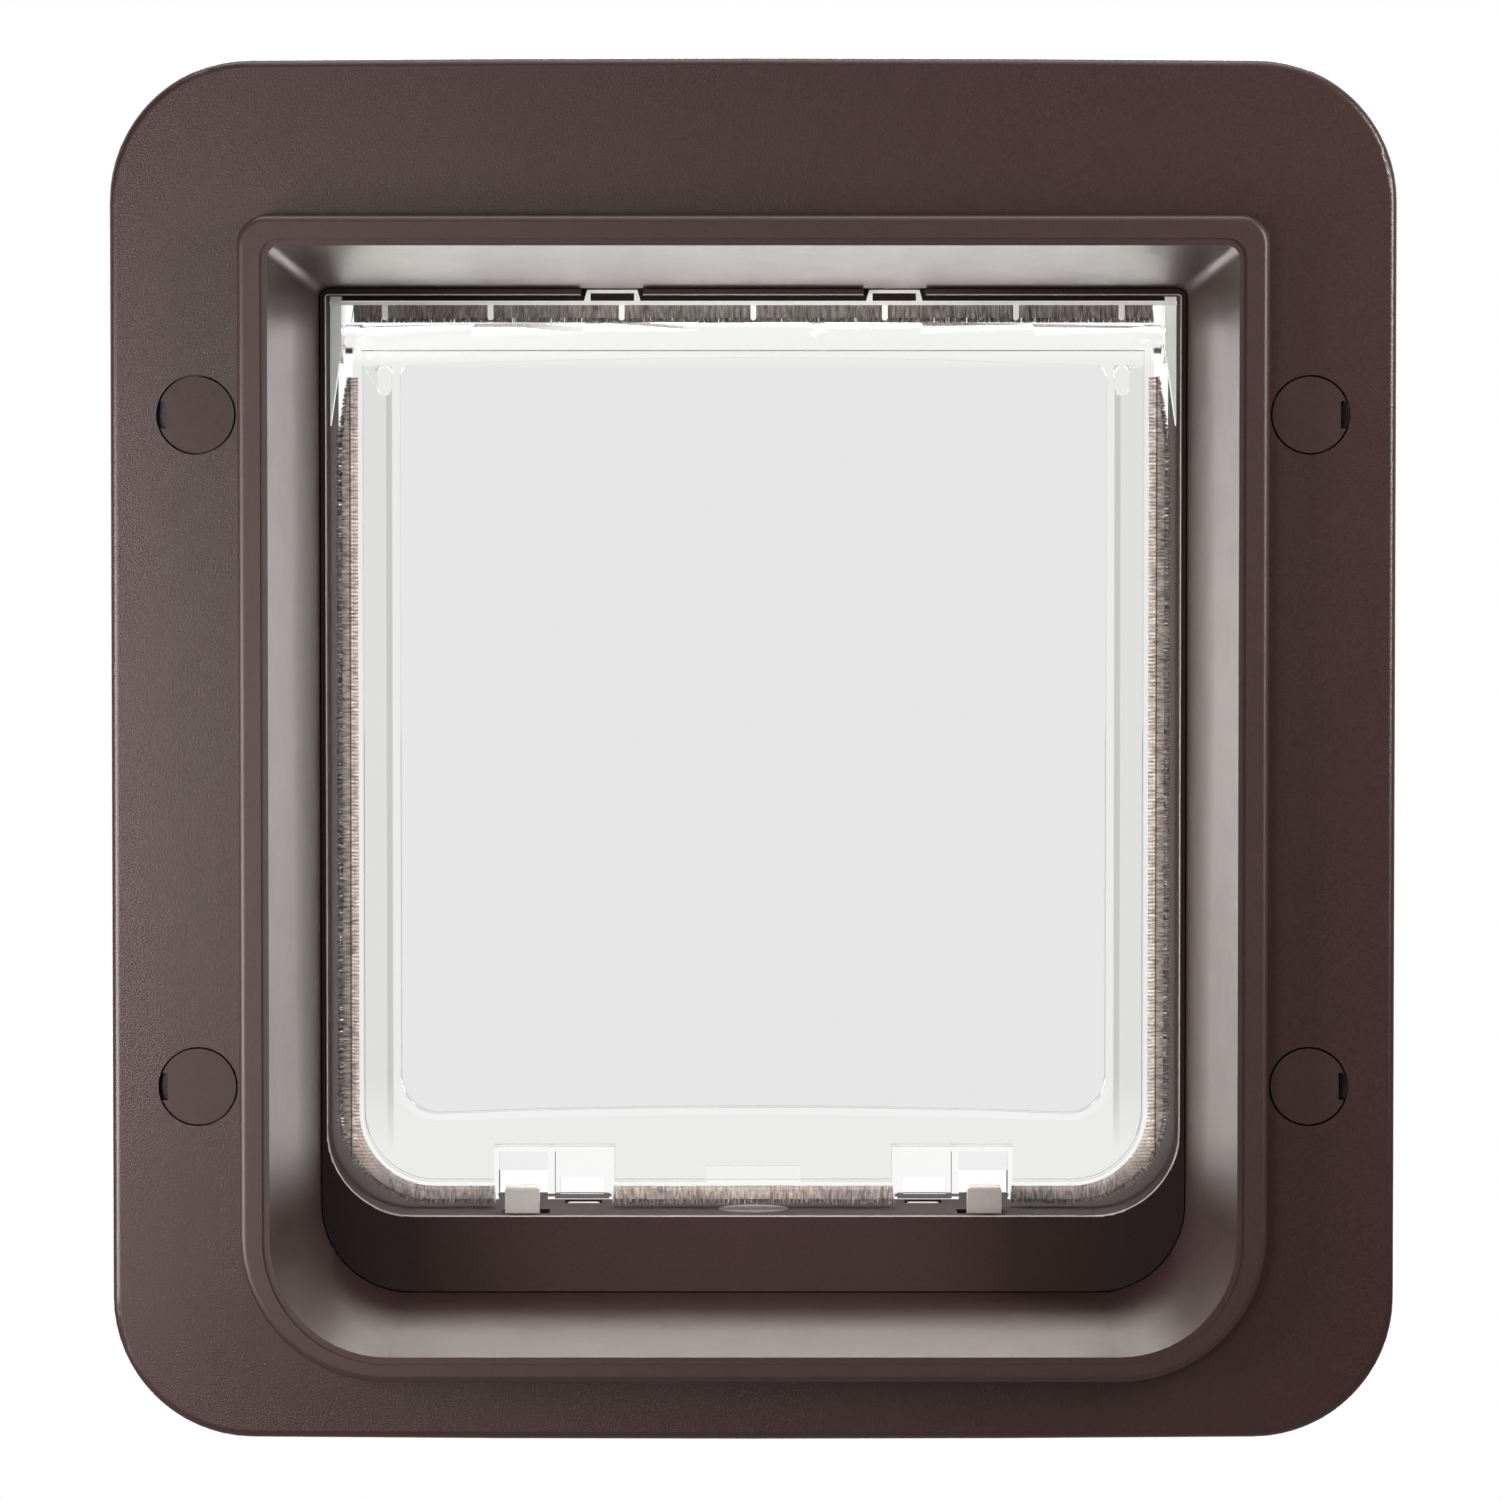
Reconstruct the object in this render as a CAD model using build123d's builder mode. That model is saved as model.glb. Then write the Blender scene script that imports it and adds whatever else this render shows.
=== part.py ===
from build123d import *
from math import atan, cos, pi, radians, sin, sqrt, tan
import os

# Large chip-reading cat flap, in millimetres. +X is to the right seen from outside, +Y runs through the door
# into the room and +Z is up. The origin lies on the outside of the door, midway between the fixing screws.

# Passage through the inner housing, and the sill below it
passage_width = 179.5
passage_top = 94.2
sill_top = -99.9
passage_top_corner = 0.5
passage_low_corner = 18.0
passage_wall = 1.2
sill_skin = 1.6
sill_height = 16.0
stub_low_corner = 18.5
stub_reach = 10.7
stub_edge = 0.4
ceiling_lip_depth = 2.0

# Outer frame: flange, raised bezel and flared tunnel
door_thickness = 40.0
stub_clearance = 0.3
tunnel_flare = 8.0
tunnel_wall = 2.2
tunnel_lap = 6.0
mouth_top_corner = 2.7
mouth_low_corner = 24.0
bezel_border = 6.1
bezel_foot = 5.1
bezel_rise = 8.0
bezel_edge = 1.4
bezel_top_corner = 6.0
bezel_low_corner = 30.0
rebate_width = 1.4
rebate_depth = 0.5
side_band = 26.65
top_band = 32.45
bottom_band = 12.95
flange_depth = 5.0
flange_edge = 1.6
frame_corner = 29.0
frame_crown = 0.75
frame_skin = 2.2
back_rib_pitch = 46.0
back_rib_width = 1.6
back_rib_count = 5

# Fixing screws and their caps
screw_inset = 17.7
screw_rise = 69.1
screw_radius = 2.0
screw_fit = 0.05
screw_head_radius = 4.0
screw_head_height = 1.8
screw_grip = 14.0
well_radius = 8.2
well_depth = 3.4
cap_gap = 0.4
cap_top = 1.2
cap_skirt = 1.3
cap_notch_depth = 1.6
cap_notch_height = 5.6

# Inner housing tray and room-side cover
housing_depth = 34.0
housing_skin = 2.2
tray_depth = 24.0
cover_edge = 4.0
mouth_round = 1.0
boss_radius = 5.0
seat_gap = 0.2

# Case screws, driven from the door side into the cover
case_screw_inset = 11.0
case_screw_upper = 20.0
case_screw_lower = -112.0
case_screw_radius = 1.5
case_head_radius = 2.8
case_head_height = 1.2
case_boss_radius = 3.6

# Clear flap
hinge_setback = 7.0
hinge_drop = 9.2
flap_side_gap = 4.75
flap_sill_gap = 3.6
flap_low_corner = 17.0
rim_thickness = 7.0
rim_width = 2.0
rim_edge = 0.5
band_thickness = 3.4
beam_thickness = 6.4
beam_rise = 4.0
beam_end_rise = 2.8
beam_drop = 2.4
beam_round = 2.4
beam_low_round = 0.5
bead_thickness = 5.0
bead_width = 1.7
window_thickness = 2.4
window_side = 9.9
window_head = 3.8
window_foot = 16.1
window_bow = 1.7
window_top_corner = 3.0
window_low_corner = 8.0
pivot_radius = 2.0
pivot_fit = 0.05
pivot_shoulder = 3.2
corner_boss_width = 3.0
corner_boss_height = 6.4
corner_boss_drop = 8.7
finger_pocket_width = 20.0
finger_pocket_height = 3.6
finger_pocket_depth = 1.2
finger_pocket_lift = 0.9

# Brush seals: pile thickness, how far the backing sits in its groove, and the gap the tips leave
pile_thickness = 2.4
groove_depth = 1.1
groove_play = 0.15
side_tip_gap = 0.85
sill_tip_gap = 0.35
brush_head = 8.3
brush_slant_height = 13.0
brush_slant_width = 2.3
top_pile_front = 5.2
top_pile_drop = 3.7
top_pile_inset = 0.5

# Clear hinge carrier
carrier_play = 0.35
carrier_drop = 1.2
carrier_plate = 0.8
carrier_front = 11.0
carrier_back = 9.0
peg_width = 1.2
peg_depth = 2.5
peg_drop = 3.2
peg_offset = 9.8
peg_places = (0.0, 27.8, 55.5, 77.8)
arm_thickness = 2.4
arm_front = 9.0
arm_leg_depth = 4.0
arm_leg_drop = 27.3
arm_waist = 10.5
arm_eye_radius = 5.4
arm_strut_depth = 8.0
loop_place = 29.75
loop_width = 12.4
loop_slope = 0.9
loop_rise = 2.4
loop_bar = 0.7
loop_depth = 3.6
loop_slot_play = 0.4

# Lock catches, their slots in the sill and their pockets in the flap
catch_width = 7.2
catch_round = 0.8
slot_play = 0.4
slot_slack = 2.2
outer_catch_place = 49.0
outer_catch_depth = 6.6
outer_catch_gap = 2.5
outer_catch_proud = 5.5
outer_catch_travel = 5.5
inner_catch_place = 36.5
inner_catch_depth = 5.6
inner_catch_gap = 2.5
inner_catch_sunk = 0.3
inner_catch_travel = 10.0
pocket_wall = 1.1
pocket_width = 10.4
pocket_clearance = 2.2
pocket_height = 8.4
pocket_lip = 1.7
loop_window_width = 9.2
loop_window_height = 3.6
loop_box_width = 11.6
loop_front_wall = 1.5

# Lock drive: a rack on each yoke and a pinion on each gearmotor
yoke_depth = 4.6
yoke_height = 4.0
yoke_overhang = 0.6
sill_headroom = 0.4
gear_module = 1.0
pinion_teeth = 12
pressure_angle = 20.0
pinion_addendum = 0.8
rack_addendum = 0.62
mesh_clearance = 0.25
backlash = 0.2
rack_width = 5.0
rack_back = 2.4
rack_below = 13.5
rack_teeth = 8
outer_rack_place = 0.0
outer_rack_reach = 5.4
inner_rack_place = -9.5
shaft_radius = 1.5
shaft_fit = 0.05
shaft_seat = 4.0
motor_length = 22.0
motor_width = 10.0
motor_height = 12.0
motor_gap = 4.5
motor_corner = 2.0
stop_width = 4.0
stop_place = 27.0
shelf_place = 33.5
shelf_height = 3.0

# Sensor window in the sill
lens_radius = 7.5
lens_place = 3.7
lens_thickness = 0.95
lens_recess = 1.0
lens_ledge = 1.5
lens_play = 0.1

# Reader coil, cells, board and controls
coil_place = 20.0
coil_width = 8.0
coil_thickness = 2.4
coil_gap = 0.3
bay_clear = 0.9
bay_wall = 1.4
bay_inner = 14.4
cell_radius = 13.1
cell_length = 48.5
cell_nub_radius = 3.3
cell_nub_length = 1.5
cell_gap = 0.4
cell_seat = 0.2
contact_thickness = 0.5
contact_width = 16.0
contact_height = 18.0
door_overlap = 1.5
door_play = 0.3
door_corner = 6.0
door_ledge = 2.0
grip_count = 5
grip_pitch = 4.0
grip_width = 1.4
grip_rise = 0.6
board_width = 25.0
board_height = 33.0
board_thickness = 1.6
board_stand = 12.0
board_post_radius = 2.5
switch_side = 6.0
switch_height = 3.5
button_place = 11.0
button_radius = 4.5
button_proud = 0.8
button_flange = 1.2
button_flange_thickness = 1.2
button_stem_radius = 2.0
button_play = 0.15
button_travel = 1.2
status_place = 23.0
status_radius = 2.5
status_fit = 0.05
status_proud = 0.2

# Outlines across the passage, worked out from the passage outwards
passage_half = passage_width / 2
stub_half = passage_half + passage_wall
stub_top = passage_top + passage_wall
stub_bottom = sill_top - sill_height
mouth_half = stub_half + stub_clearance + tunnel_flare
mouth_top = stub_top + stub_clearance + tunnel_flare
mouth_bottom = stub_bottom - stub_clearance - tunnel_flare
bezel_half = mouth_half + bezel_border
bezel_top = mouth_top + bezel_border
bezel_bottom = mouth_bottom - bezel_foot
frame_half = bezel_half + side_band
frame_top = bezel_top + top_band
frame_bottom = bezel_bottom - bottom_band
screw_half = frame_half - screw_inset

# Places along the passage, from the outside of the door into the room
bezel_front = -flange_depth - bezel_rise
well_floor = well_depth - flange_depth
stub_front = door_thickness - stub_reach
hinge_y = door_thickness + hinge_setback
hinge_z = passage_top - hinge_drop
carrier_top = passage_top - carrier_drop
plate_back = door_thickness + housing_skin
split_y = door_thickness + tray_depth
room_face = door_thickness + housing_depth
cover_inside = room_face - housing_skin
flap_front = hinge_y - rim_thickness / 2
flap_back = hinge_y + rim_thickness / 2

# Flap outline and window
flap_half = passage_half - flap_side_gap
flap_bottom = sill_top + flap_sill_gap
window_half = flap_half - window_side
window_top = hinge_z - window_head
window_bottom = flap_bottom + window_foot

# Lock places
sill_roof = sill_top - sill_skin
outer_catch_back = flap_front - outer_catch_gap
outer_catch_front = outer_catch_back - outer_catch_depth
outer_catch_top = sill_top + outer_catch_proud
outer_yoke_top = sill_roof - sill_headroom - outer_catch_travel
inner_catch_front = flap_back + inner_catch_gap
inner_catch_back = inner_catch_front + inner_catch_depth
inner_catch_top = sill_top - inner_catch_sunk
inner_yoke_top = sill_roof - sill_headroom - inner_catch_travel
pocket_half = pocket_width / 2
pinion_radius = gear_module * pinion_teeth / 2
rack_pitch = pi * gear_module
outer_rack_y = outer_catch_front + yoke_depth + outer_rack_reach + rack_back
inner_rack_y = inner_catch_front + rack_back
outer_pinion_y = outer_rack_y + pinion_addendum + mesh_clearance + pinion_radius
inner_pinion_y = inner_rack_y + pinion_addendum + mesh_clearance + pinion_radius
pinion_tip = pinion_radius + pinion_addendum
pinion_z = inner_yoke_top - yoke_height - pinion_tip - 2 * seat_gap
sill_hollow_half = passage_half - passage_low_corner - sill_skin

# Room-side places above the passage
bay_floor = stub_top + coil_gap + coil_thickness + bay_clear + bay_wall
cell_z = bay_floor + cell_seat + cell_radius
cell_y = plate_back + cell_seat + cell_radius
contact_inner = bay_inner + bay_wall
cell_start = contact_inner + contact_thickness + cell_gap
cell_pitch = cell_length + cell_nub_length + cell_gap
contact_outer = cell_start + 2 * cell_pitch
bay_outer = contact_outer + contact_thickness + bay_wall
bay_top = cell_z + cell_radius
board_y = plate_back + board_stand
board_z = bay_floor + board_height / 2
button_z = bay_floor + button_place
status_z = bay_floor + status_place

SIDES = (("left", -1), ("right", 1))

os.makedirs("parts", exist_ok=True)


def upright(y):
    """Upright plane across the passage, y from the outside of the door; it faces outwards."""
    return Plane.XZ.offset(-y)


def opening(half_width, top, bottom, top_corner, low_corner):
    """Outline with tight upper corners and wide lower ones."""
    with BuildSketch(mode=Mode.PRIVATE) as outline:
        with Locations((0, (top + bottom) / 2)):
            Rectangle(2 * half_width, top - bottom)
        fillet(outline.vertices().group_by(Axis.Y)[-1], top_corner)
        fillet(outline.vertices().group_by(Axis.Y)[0], low_corner)
    return outline.sketch


def passage_outline():
    return opening(passage_half, passage_top, sill_top, passage_top_corner, passage_low_corner)


def tube_outline(grow=0.0):
    """Outside of the passage wall, whose floor is the sill's own skin."""
    return opening(
        stub_half + grow,
        stub_top + grow,
        sill_roof - grow,
        passage_top_corner + passage_wall + grow,
        passage_low_corner + passage_wall + grow,
    )


def stub_outline(grow=0.0):
    """Outside of the stub that the outer tunnel slides over, sill included."""
    return opening(
        stub_half + grow,
        stub_top + grow,
        stub_bottom - grow,
        passage_top_corner + passage_wall + grow,
        stub_low_corner + grow,
    )


def mouth_outline(grow=0.0):
    return opening(
        mouth_half + grow,
        mouth_top + grow,
        mouth_bottom - grow,
        mouth_top_corner + grow,
        mouth_low_corner + grow,
    )


def bezel_outline(grow=0.0):
    return opening(
        bezel_half + grow,
        bezel_top + grow,
        bezel_bottom - grow,
        bezel_top_corner + grow,
        bezel_low_corner + grow,
    )


def frame_outline(grow=0.0):
    """Outline of both halves: straight sides, slightly crowned top and bottom."""
    half = frame_half + grow
    top = frame_top + grow
    bottom = frame_bottom - grow
    with BuildSketch(mode=Mode.PRIVATE) as outline:
        with BuildLine():
            Line((-half, bottom + frame_crown), (-half, top - frame_crown))
            ThreePointArc((-half, top - frame_crown), (0, top), (half, top - frame_crown))
            Line((half, top - frame_crown), (half, bottom + frame_crown))
            ThreePointArc((half, bottom + frame_crown), (0, bottom), (-half, bottom + frame_crown))
        make_face()
        fillet(outline.vertices(), frame_corner + grow)
    return outline.sketch


def flap_outline(inset=0.0):
    """Flap from its hinge axis down to its rounded lower corners."""
    return opening(
        flap_half - inset,
        hinge_z,
        flap_bottom + inset,
        rim_edge,
        flap_low_corner - inset,
    )


def window_outline(grow=0.0):
    """Thin window of the flap, bowed upwards at its head and foot."""
    half = window_half + grow
    top = window_top + grow
    bottom = window_bottom - grow
    with BuildSketch(mode=Mode.PRIVATE) as outline:
        with BuildLine():
            Line((-half, bottom), (-half, top - window_bow))
            ThreePointArc((-half, top - window_bow), (0, top), (half, top - window_bow))
            Line((half, top - window_bow), (half, bottom))
            ThreePointArc((half, bottom), (0, bottom + window_bow), (-half, bottom))
        make_face()
        fillet(outline.vertices().group_by(Axis.Y)[-1], window_top_corner + grow)
        fillet(outline.vertices().group_by(Axis.Y)[0], window_low_corner + grow)
    return outline.sketch


def span(start, end, low, high, mode=Mode.ADD):
    """Rectangle between two places across and two heights, in the sketch that is open."""
    with Locations(((start + end) / 2, (low + high) / 2)):
        return Rectangle(abs(end - start), abs(high - low), mode=mode)


def keep(piece, name):
    piece.label = name
    export_step(piece, f"parts/{name}.step")


# Outer frame
with BuildPart() as outer_frame:
    with BuildSketch(upright(0)):
        add(frame_outline())
    extrude(amount=flange_depth)
    fillet(outer_frame.faces().sort_by(Axis.Y)[0].edges(), flange_edge)
    with BuildSketch(upright(0)):
        add(frame_outline(-frame_skin))
        add(bezel_outline(), mode=Mode.SUBTRACT)
        with GridLocations(2 * screw_half, 2 * screw_rise, 2, 2):
            Circle(well_radius + frame_skin, mode=Mode.SUBTRACT)
        with GridLocations(back_rib_pitch, 0, back_rib_count, 1):
            Rectangle(back_rib_width, 3 * frame_top, mode=Mode.SUBTRACT)
        with GridLocations(0, back_rib_pitch, 1, back_rib_count):
            Rectangle(3 * frame_half, back_rib_width, mode=Mode.SUBTRACT)
    extrude(amount=flange_depth - frame_skin, mode=Mode.SUBTRACT)
    with BuildSketch(upright(0)):
        add(bezel_outline())
    extrude(amount=flange_depth + bezel_rise)
    fillet(outer_frame.faces().sort_by(Axis.Y)[0].edges(), bezel_edge)
    with BuildSketch(upright(bezel_front)):
        add(mouth_outline(tunnel_wall))
    with BuildSketch(upright(stub_front)):
        add(stub_outline(stub_clearance + tunnel_wall))
    loft(ruled=True)
    with BuildSketch(upright(stub_front)):
        add(stub_outline(stub_clearance + tunnel_wall))
    extrude(amount=-tunnel_lap)
    with BuildSketch(upright(bezel_front)):
        add(mouth_outline())
    with BuildSketch(upright(stub_front)):
        add(stub_outline(stub_clearance))
    loft(ruled=True, mode=Mode.SUBTRACT)
    with BuildSketch(upright(stub_front)):
        add(stub_outline(stub_clearance))
    extrude(amount=-tunnel_lap, mode=Mode.SUBTRACT)
    with BuildSketch(upright(0)):
        add(bezel_outline(-frame_skin))
        add(mouth_outline(tunnel_wall), mode=Mode.SUBTRACT)
    extrude(amount=flange_depth + bezel_rise - frame_skin, mode=Mode.SUBTRACT)
    with BuildSketch(upright(bezel_front)):
        add(mouth_outline(rebate_width))
    extrude(amount=-rebate_depth, mode=Mode.SUBTRACT)
    with Locations(upright(-flange_depth)):
        with GridLocations(2 * screw_half, 2 * screw_rise, 2, 2):
            CounterBoreHole(screw_radius + cap_gap, well_radius, well_depth)
keep(outer_frame.part, "outer_frame")

# Screw caps: shallow cups with a pry notch on the side away from the tunnel
cap_radius = well_radius - cap_gap
for side_name, side in SIDES:
    for rise_name, rise in (("upper", 1), ("lower", -1)):
        cap_x = side * screw_half
        cap_z = rise * screw_rise
        with BuildPart() as screw_cap:
            with BuildSketch(upright(-flange_depth)):
                with Locations((cap_x, cap_z)):
                    Circle(cap_radius)
                with Locations((cap_x + side * (cap_radius - cap_notch_depth / 2), cap_z)):
                    Rectangle(cap_notch_depth, cap_notch_height, mode=Mode.SUBTRACT)
            extrude(amount=-well_depth)
            with BuildSketch(upright(well_floor)):
                with Locations((cap_x, cap_z)):
                    Circle(cap_radius - cap_skirt)
            extrude(amount=well_depth - cap_top, mode=Mode.SUBTRACT)
        keep(screw_cap.part, f"screw_cap_{rise_name}_{side_name}")

# Fixing screws, through the door into the inner housing
screw_tip = plate_back + screw_grip
with BuildPart() as fixing_screws:
    with Locations(upright(well_floor)):
        with GridLocations(2 * screw_half, 2 * screw_rise, 2, 2):
            Cylinder(
                screw_head_radius,
                screw_head_height,
                align=(Align.CENTER, Align.CENTER, Align.MIN),
            )
            Cylinder(
                screw_radius,
                screw_tip - well_floor,
                align=(Align.CENTER, Align.CENTER, Align.MAX),
            )
keep(fixing_screws.part, "fixing_screws")

# Inner housing tray, with the stub, the sill, the passage wall and the seats of what it carries
case_screw_half = frame_half - case_screw_inset
case_screw_places = [
    (side * case_screw_half, z) for _, side in SIDES for z in (case_screw_upper, case_screw_lower)
]
with BuildPart() as inner_housing:
    with BuildSketch(upright(door_thickness)):
        add(frame_outline())
    extrude(amount=-tray_depth)
    with BuildSketch(upright(plate_back)):
        add(frame_outline(-housing_skin))
    extrude(amount=housing_skin - tray_depth, mode=Mode.SUBTRACT)
    with BuildSketch(upright(stub_front)):
        add(stub_outline())
    extrude(amount=-stub_reach)
    with BuildSketch(upright(door_thickness)):
        add(tube_outline())
    extrude(amount=door_thickness - cover_inside + seat_gap)
    with Locations(upright(plate_back)):
        with GridLocations(2 * screw_half, 2 * screw_rise, 2, 2):
            Cylinder(
                boss_radius,
                screw_grip + housing_skin,
                align=(Align.CENTER, Align.CENTER, Align.MAX),
            )
    # Battery bays: a floor and two end walls on each side of the board
    with BuildSketch(upright(plate_back)):
        for _, side in SIDES:
            span(side * bay_inner, side * bay_outer, bay_floor - bay_wall, bay_top)
    extrude(amount=-2 * cell_radius)
    with BuildSketch(upright(plate_back)):
        for _, side in SIDES:
            span(
                side * (bay_inner + bay_wall),
                side * (bay_outer - bay_wall),
                bay_floor,
                bay_top + bay_wall,
            )
    extrude(amount=-2 * cell_radius, mode=Mode.SUBTRACT)
    # Posts of the circuit board
    with BuildSketch(upright(plate_back)):
        with Locations((0, board_z)):
            with GridLocations(0, board_height - 3 * board_post_radius, 1, 2):
                Circle(board_post_radius)
    extrude(amount=-board_stand)
    # Passage, sill hollow and catch slots
    with BuildSketch(upright(stub_front)):
        add(passage_outline())
    extrude(amount=-stub_reach - housing_depth, mode=Mode.SUBTRACT)
    fillet(inner_housing.faces().sort_by(Axis.Y)[0].inner_wires()[0].edges(), stub_edge)
    # Lip of the ceiling that closes the gap above the carrier's plate
    with BuildSketch(upright(plate_back)):
        span(-passage_half, passage_half, carrier_top + seat_gap, stub_top)
    extrude(amount=-ceiling_lip_depth)
    with BuildSketch(upright(stub_front + sill_skin)):
        span(-sill_hollow_half, sill_hollow_half, stub_bottom + passage_wall, sill_roof)
    extrude(amount=stub_front + sill_skin - plate_back, mode=Mode.SUBTRACT)
    with BuildSketch(Plane.XY.offset(sill_top)):
        for _, side in SIDES:
            span(
                side * (outer_catch_place + catch_width / 2 + slot_play),
                side * (outer_catch_place - catch_width / 2 - slot_slack),
                outer_catch_front - slot_play,
                outer_catch_back + slot_play,
            )
            span(
                side * (inner_catch_place + catch_width / 2 + slot_play),
                side * (inner_catch_place - catch_width / 2 - slot_play),
                inner_catch_front - slot_play,
                inner_catch_back + slot_play,
            )
    extrude(amount=-2 * sill_skin, mode=Mode.SUBTRACT)
    with Locations((0, hinge_y - lens_place, sill_top)):
        CounterBoreHole(lens_radius - lens_ledge, lens_radius + lens_play, lens_recess, 2 * sill_skin)
    # Notches in the front of the ceiling for the carrier's clip loops
    with BuildSketch(upright(stub_front)):
        for _, side in SIDES:
            span(
                side * loop_place - loop_width / 2 - loop_slot_play,
                side * loop_place + loop_width / 2 + loop_slot_play,
                passage_top - passage_wall,
                stub_top + passage_wall,
            )
    extrude(amount=-stub_reach - housing_skin / 2, mode=Mode.SUBTRACT)
    # Stops under the outer yoke and shelves under the inner one
    with BuildSketch(upright(stub_front)):
        for _, side in SIDES:
            with Locations((side * stop_place, 0)):
                span(
                    -stop_width / 2,
                    stop_width / 2,
                    stub_bottom,
                    outer_yoke_top - yoke_height - seat_gap,
                )
    extrude(amount=-stub_reach)
    with BuildSketch(upright(door_thickness)):
        for _, side in SIDES:
            with Locations((side * shelf_place, inner_yoke_top - yoke_height - seat_gap)):
                Rectangle(stop_width, shelf_height, align=(Align.CENTER, Align.MAX))
    extrude(amount=door_thickness - inner_catch_front - yoke_depth / 2)
    # Cradles under the gearmotors
    for drive_x, drive_y, side in (
        (outer_rack_place, outer_pinion_y, 1),
        (inner_rack_place, inner_pinion_y, -1),
    ):
        cradle_start = drive_x + side * (motor_gap + stop_width)
        cradle_end = drive_x + side * (motor_gap + motor_length - stop_width)
        with BuildSketch(upright(drive_y - motor_width / 2)):
            span(cradle_start, cradle_end, frame_bottom + housing_skin / 2, pinion_z - motor_height / 2)
        extrude(amount=drive_y - motor_width / 2 - split_y)
    # Bores for the fixing screws and holes for the case screws
    with Locations(upright(door_thickness)):
        with GridLocations(2 * screw_half, 2 * screw_rise, 2, 2):
            Hole(screw_radius + screw_fit, screw_grip + housing_skin)
        with Locations(*case_screw_places):
            CounterBoreHole(
                case_screw_radius + cap_gap,
                case_head_radius + cap_gap,
                case_head_height,
                housing_skin,
            )
keep(inner_housing.part, "inner_housing")

# Room-side cover
door_start = contact_inner
door_end = contact_outer + contact_thickness
door_middle = (door_start + door_end) / 2
door_width = door_end - door_start
door_height = bay_top + door_play + door_overlap - bay_floor
door_z = bay_floor + door_height / 2
with BuildPart() as inner_cover:
    with BuildSketch(upright(split_y)):
        add(frame_outline())
    extrude(amount=split_y - room_face)
    fillet(inner_cover.faces().sort_by(Axis.Y)[-1].edges(), cover_edge)
    with BuildSketch(upright(split_y)):
        add(frame_outline(-housing_skin))
    extrude(amount=split_y - cover_inside, mode=Mode.SUBTRACT)
    with BuildSketch(upright(cover_inside)):
        with Locations(*case_screw_places):
            Circle(case_boss_radius)
    extrude(amount=cover_inside - plate_back - seat_gap)
    with BuildSketch(upright(split_y)):
        add(passage_outline())
    extrude(amount=split_y - room_face, mode=Mode.SUBTRACT)
    fillet(inner_cover.faces().sort_by(Axis.Y)[-1].inner_wires()[0].edges(), mouth_round)
    with BuildSketch(upright(cover_inside)):
        with GridLocations(2 * door_middle, 0, 2, 1):
            with Locations((0, door_z)):
                RectangleRounded(door_width, door_height, door_corner)
        with Locations((0, button_z)):
            Circle(button_radius + button_play)
        with Locations((0, status_z)):
            Circle(status_radius + status_fit)
    extrude(amount=-housing_skin, mode=Mode.SUBTRACT)
    with BuildSketch(upright(cover_inside)):
        for _, side in SIDES:
            for edge in (door_start, door_end):
                with Locations((side * edge, door_z)):
                    Rectangle(2 * door_ledge, door_height - 2 * door_corner)
    extrude(amount=housing_skin)
    with Locations(upright(plate_back)):
        with Locations(*case_screw_places):
            Hole(case_screw_radius + screw_fit, screw_grip)
keep(inner_cover.part, "inner_cover")

with BuildPart() as case_screws:
    with Locations(upright(door_thickness + case_head_height)):
        with Locations(*case_screw_places):
            Cylinder(
                case_head_radius,
                case_head_height,
                align=(Align.CENTER, Align.CENTER, Align.MIN),
            )
            Cylinder(
                case_screw_radius,
                screw_grip - case_head_height,
                align=(Align.CENTER, Align.CENTER, Align.MAX),
            )
keep(case_screws.part, "case_screws")

# Clear hinge carrier: plate under the ceiling, pegs in front of the brush, clip loops and two arms with eyes
carrier_under = carrier_top - carrier_plate
carrier_half = passage_half - carrier_play
arm_inside = carrier_half - arm_thickness
arm_top = passage_top - seat_gap
carrier_lip_y = hinge_y - carrier_front
with BuildPart() as hinge_carrier:
    with BuildSketch(Plane.XY.offset(carrier_under)):
        span(-carrier_half, carrier_half, carrier_lip_y, hinge_y + carrier_back)
    extrude(amount=carrier_plate)
    with BuildSketch(upright(hinge_y - peg_offset)):
        for place in sorted({side * place for _, side in SIDES for place in peg_places}):
            with Locations((place, carrier_under)):
                SlotOverall(2 * peg_drop, peg_width, rotation=90)
        span(-carrier_half, carrier_half, carrier_top, carrier_top + peg_drop, mode=Mode.SUBTRACT)
    extrude(amount=-peg_depth)
    with BuildSketch(upright(carrier_lip_y)):
        for _, side in SIDES:
            with BuildLine():
                Polyline(
                    (side * loop_place - loop_width / 2, carrier_under),
                    (side * loop_place + loop_width / 2, carrier_under),
                    (side * loop_place + loop_width / 2 - loop_slope, carrier_top + loop_rise),
                    (side * loop_place - loop_width / 2 + loop_slope, carrier_top + loop_rise),
                    close=True,
                )
            make_face()
            span(
                side * loop_place - loop_width / 2 + loop_slope + loop_bar,
                side * loop_place + loop_width / 2 - loop_slope - loop_bar,
                carrier_top,
                carrier_top + loop_rise - loop_bar,
                mode=Mode.SUBTRACT,
            )
    extrude(amount=-loop_depth)
    for _, side in SIDES:
        with BuildSketch(upright(hinge_y - arm_front)):
            with BuildLine():
                Polyline(
                    (side * arm_inside, arm_top),
                    (side * carrier_half, arm_top),
                    (side * carrier_half, arm_top - arm_leg_drop),
                    (side * arm_inside, arm_top - arm_waist),
                    close=True,
                )
            make_face()
        extrude(amount=-arm_leg_depth)
        with BuildSketch(Plane.YZ.offset(side * arm_inside)):
            with Locations((hinge_y, hinge_z)):
                Circle(arm_eye_radius)
            span(hinge_y - arm_strut_depth / 2, hinge_y + arm_strut_depth / 2, hinge_z, carrier_top)
            with Locations((hinge_y, hinge_z)):
                Circle(pivot_radius + pivot_fit, mode=Mode.SUBTRACT)
        extrude(amount=side * arm_thickness)
keep(hinge_carrier.part, "hinge_carrier")

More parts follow.
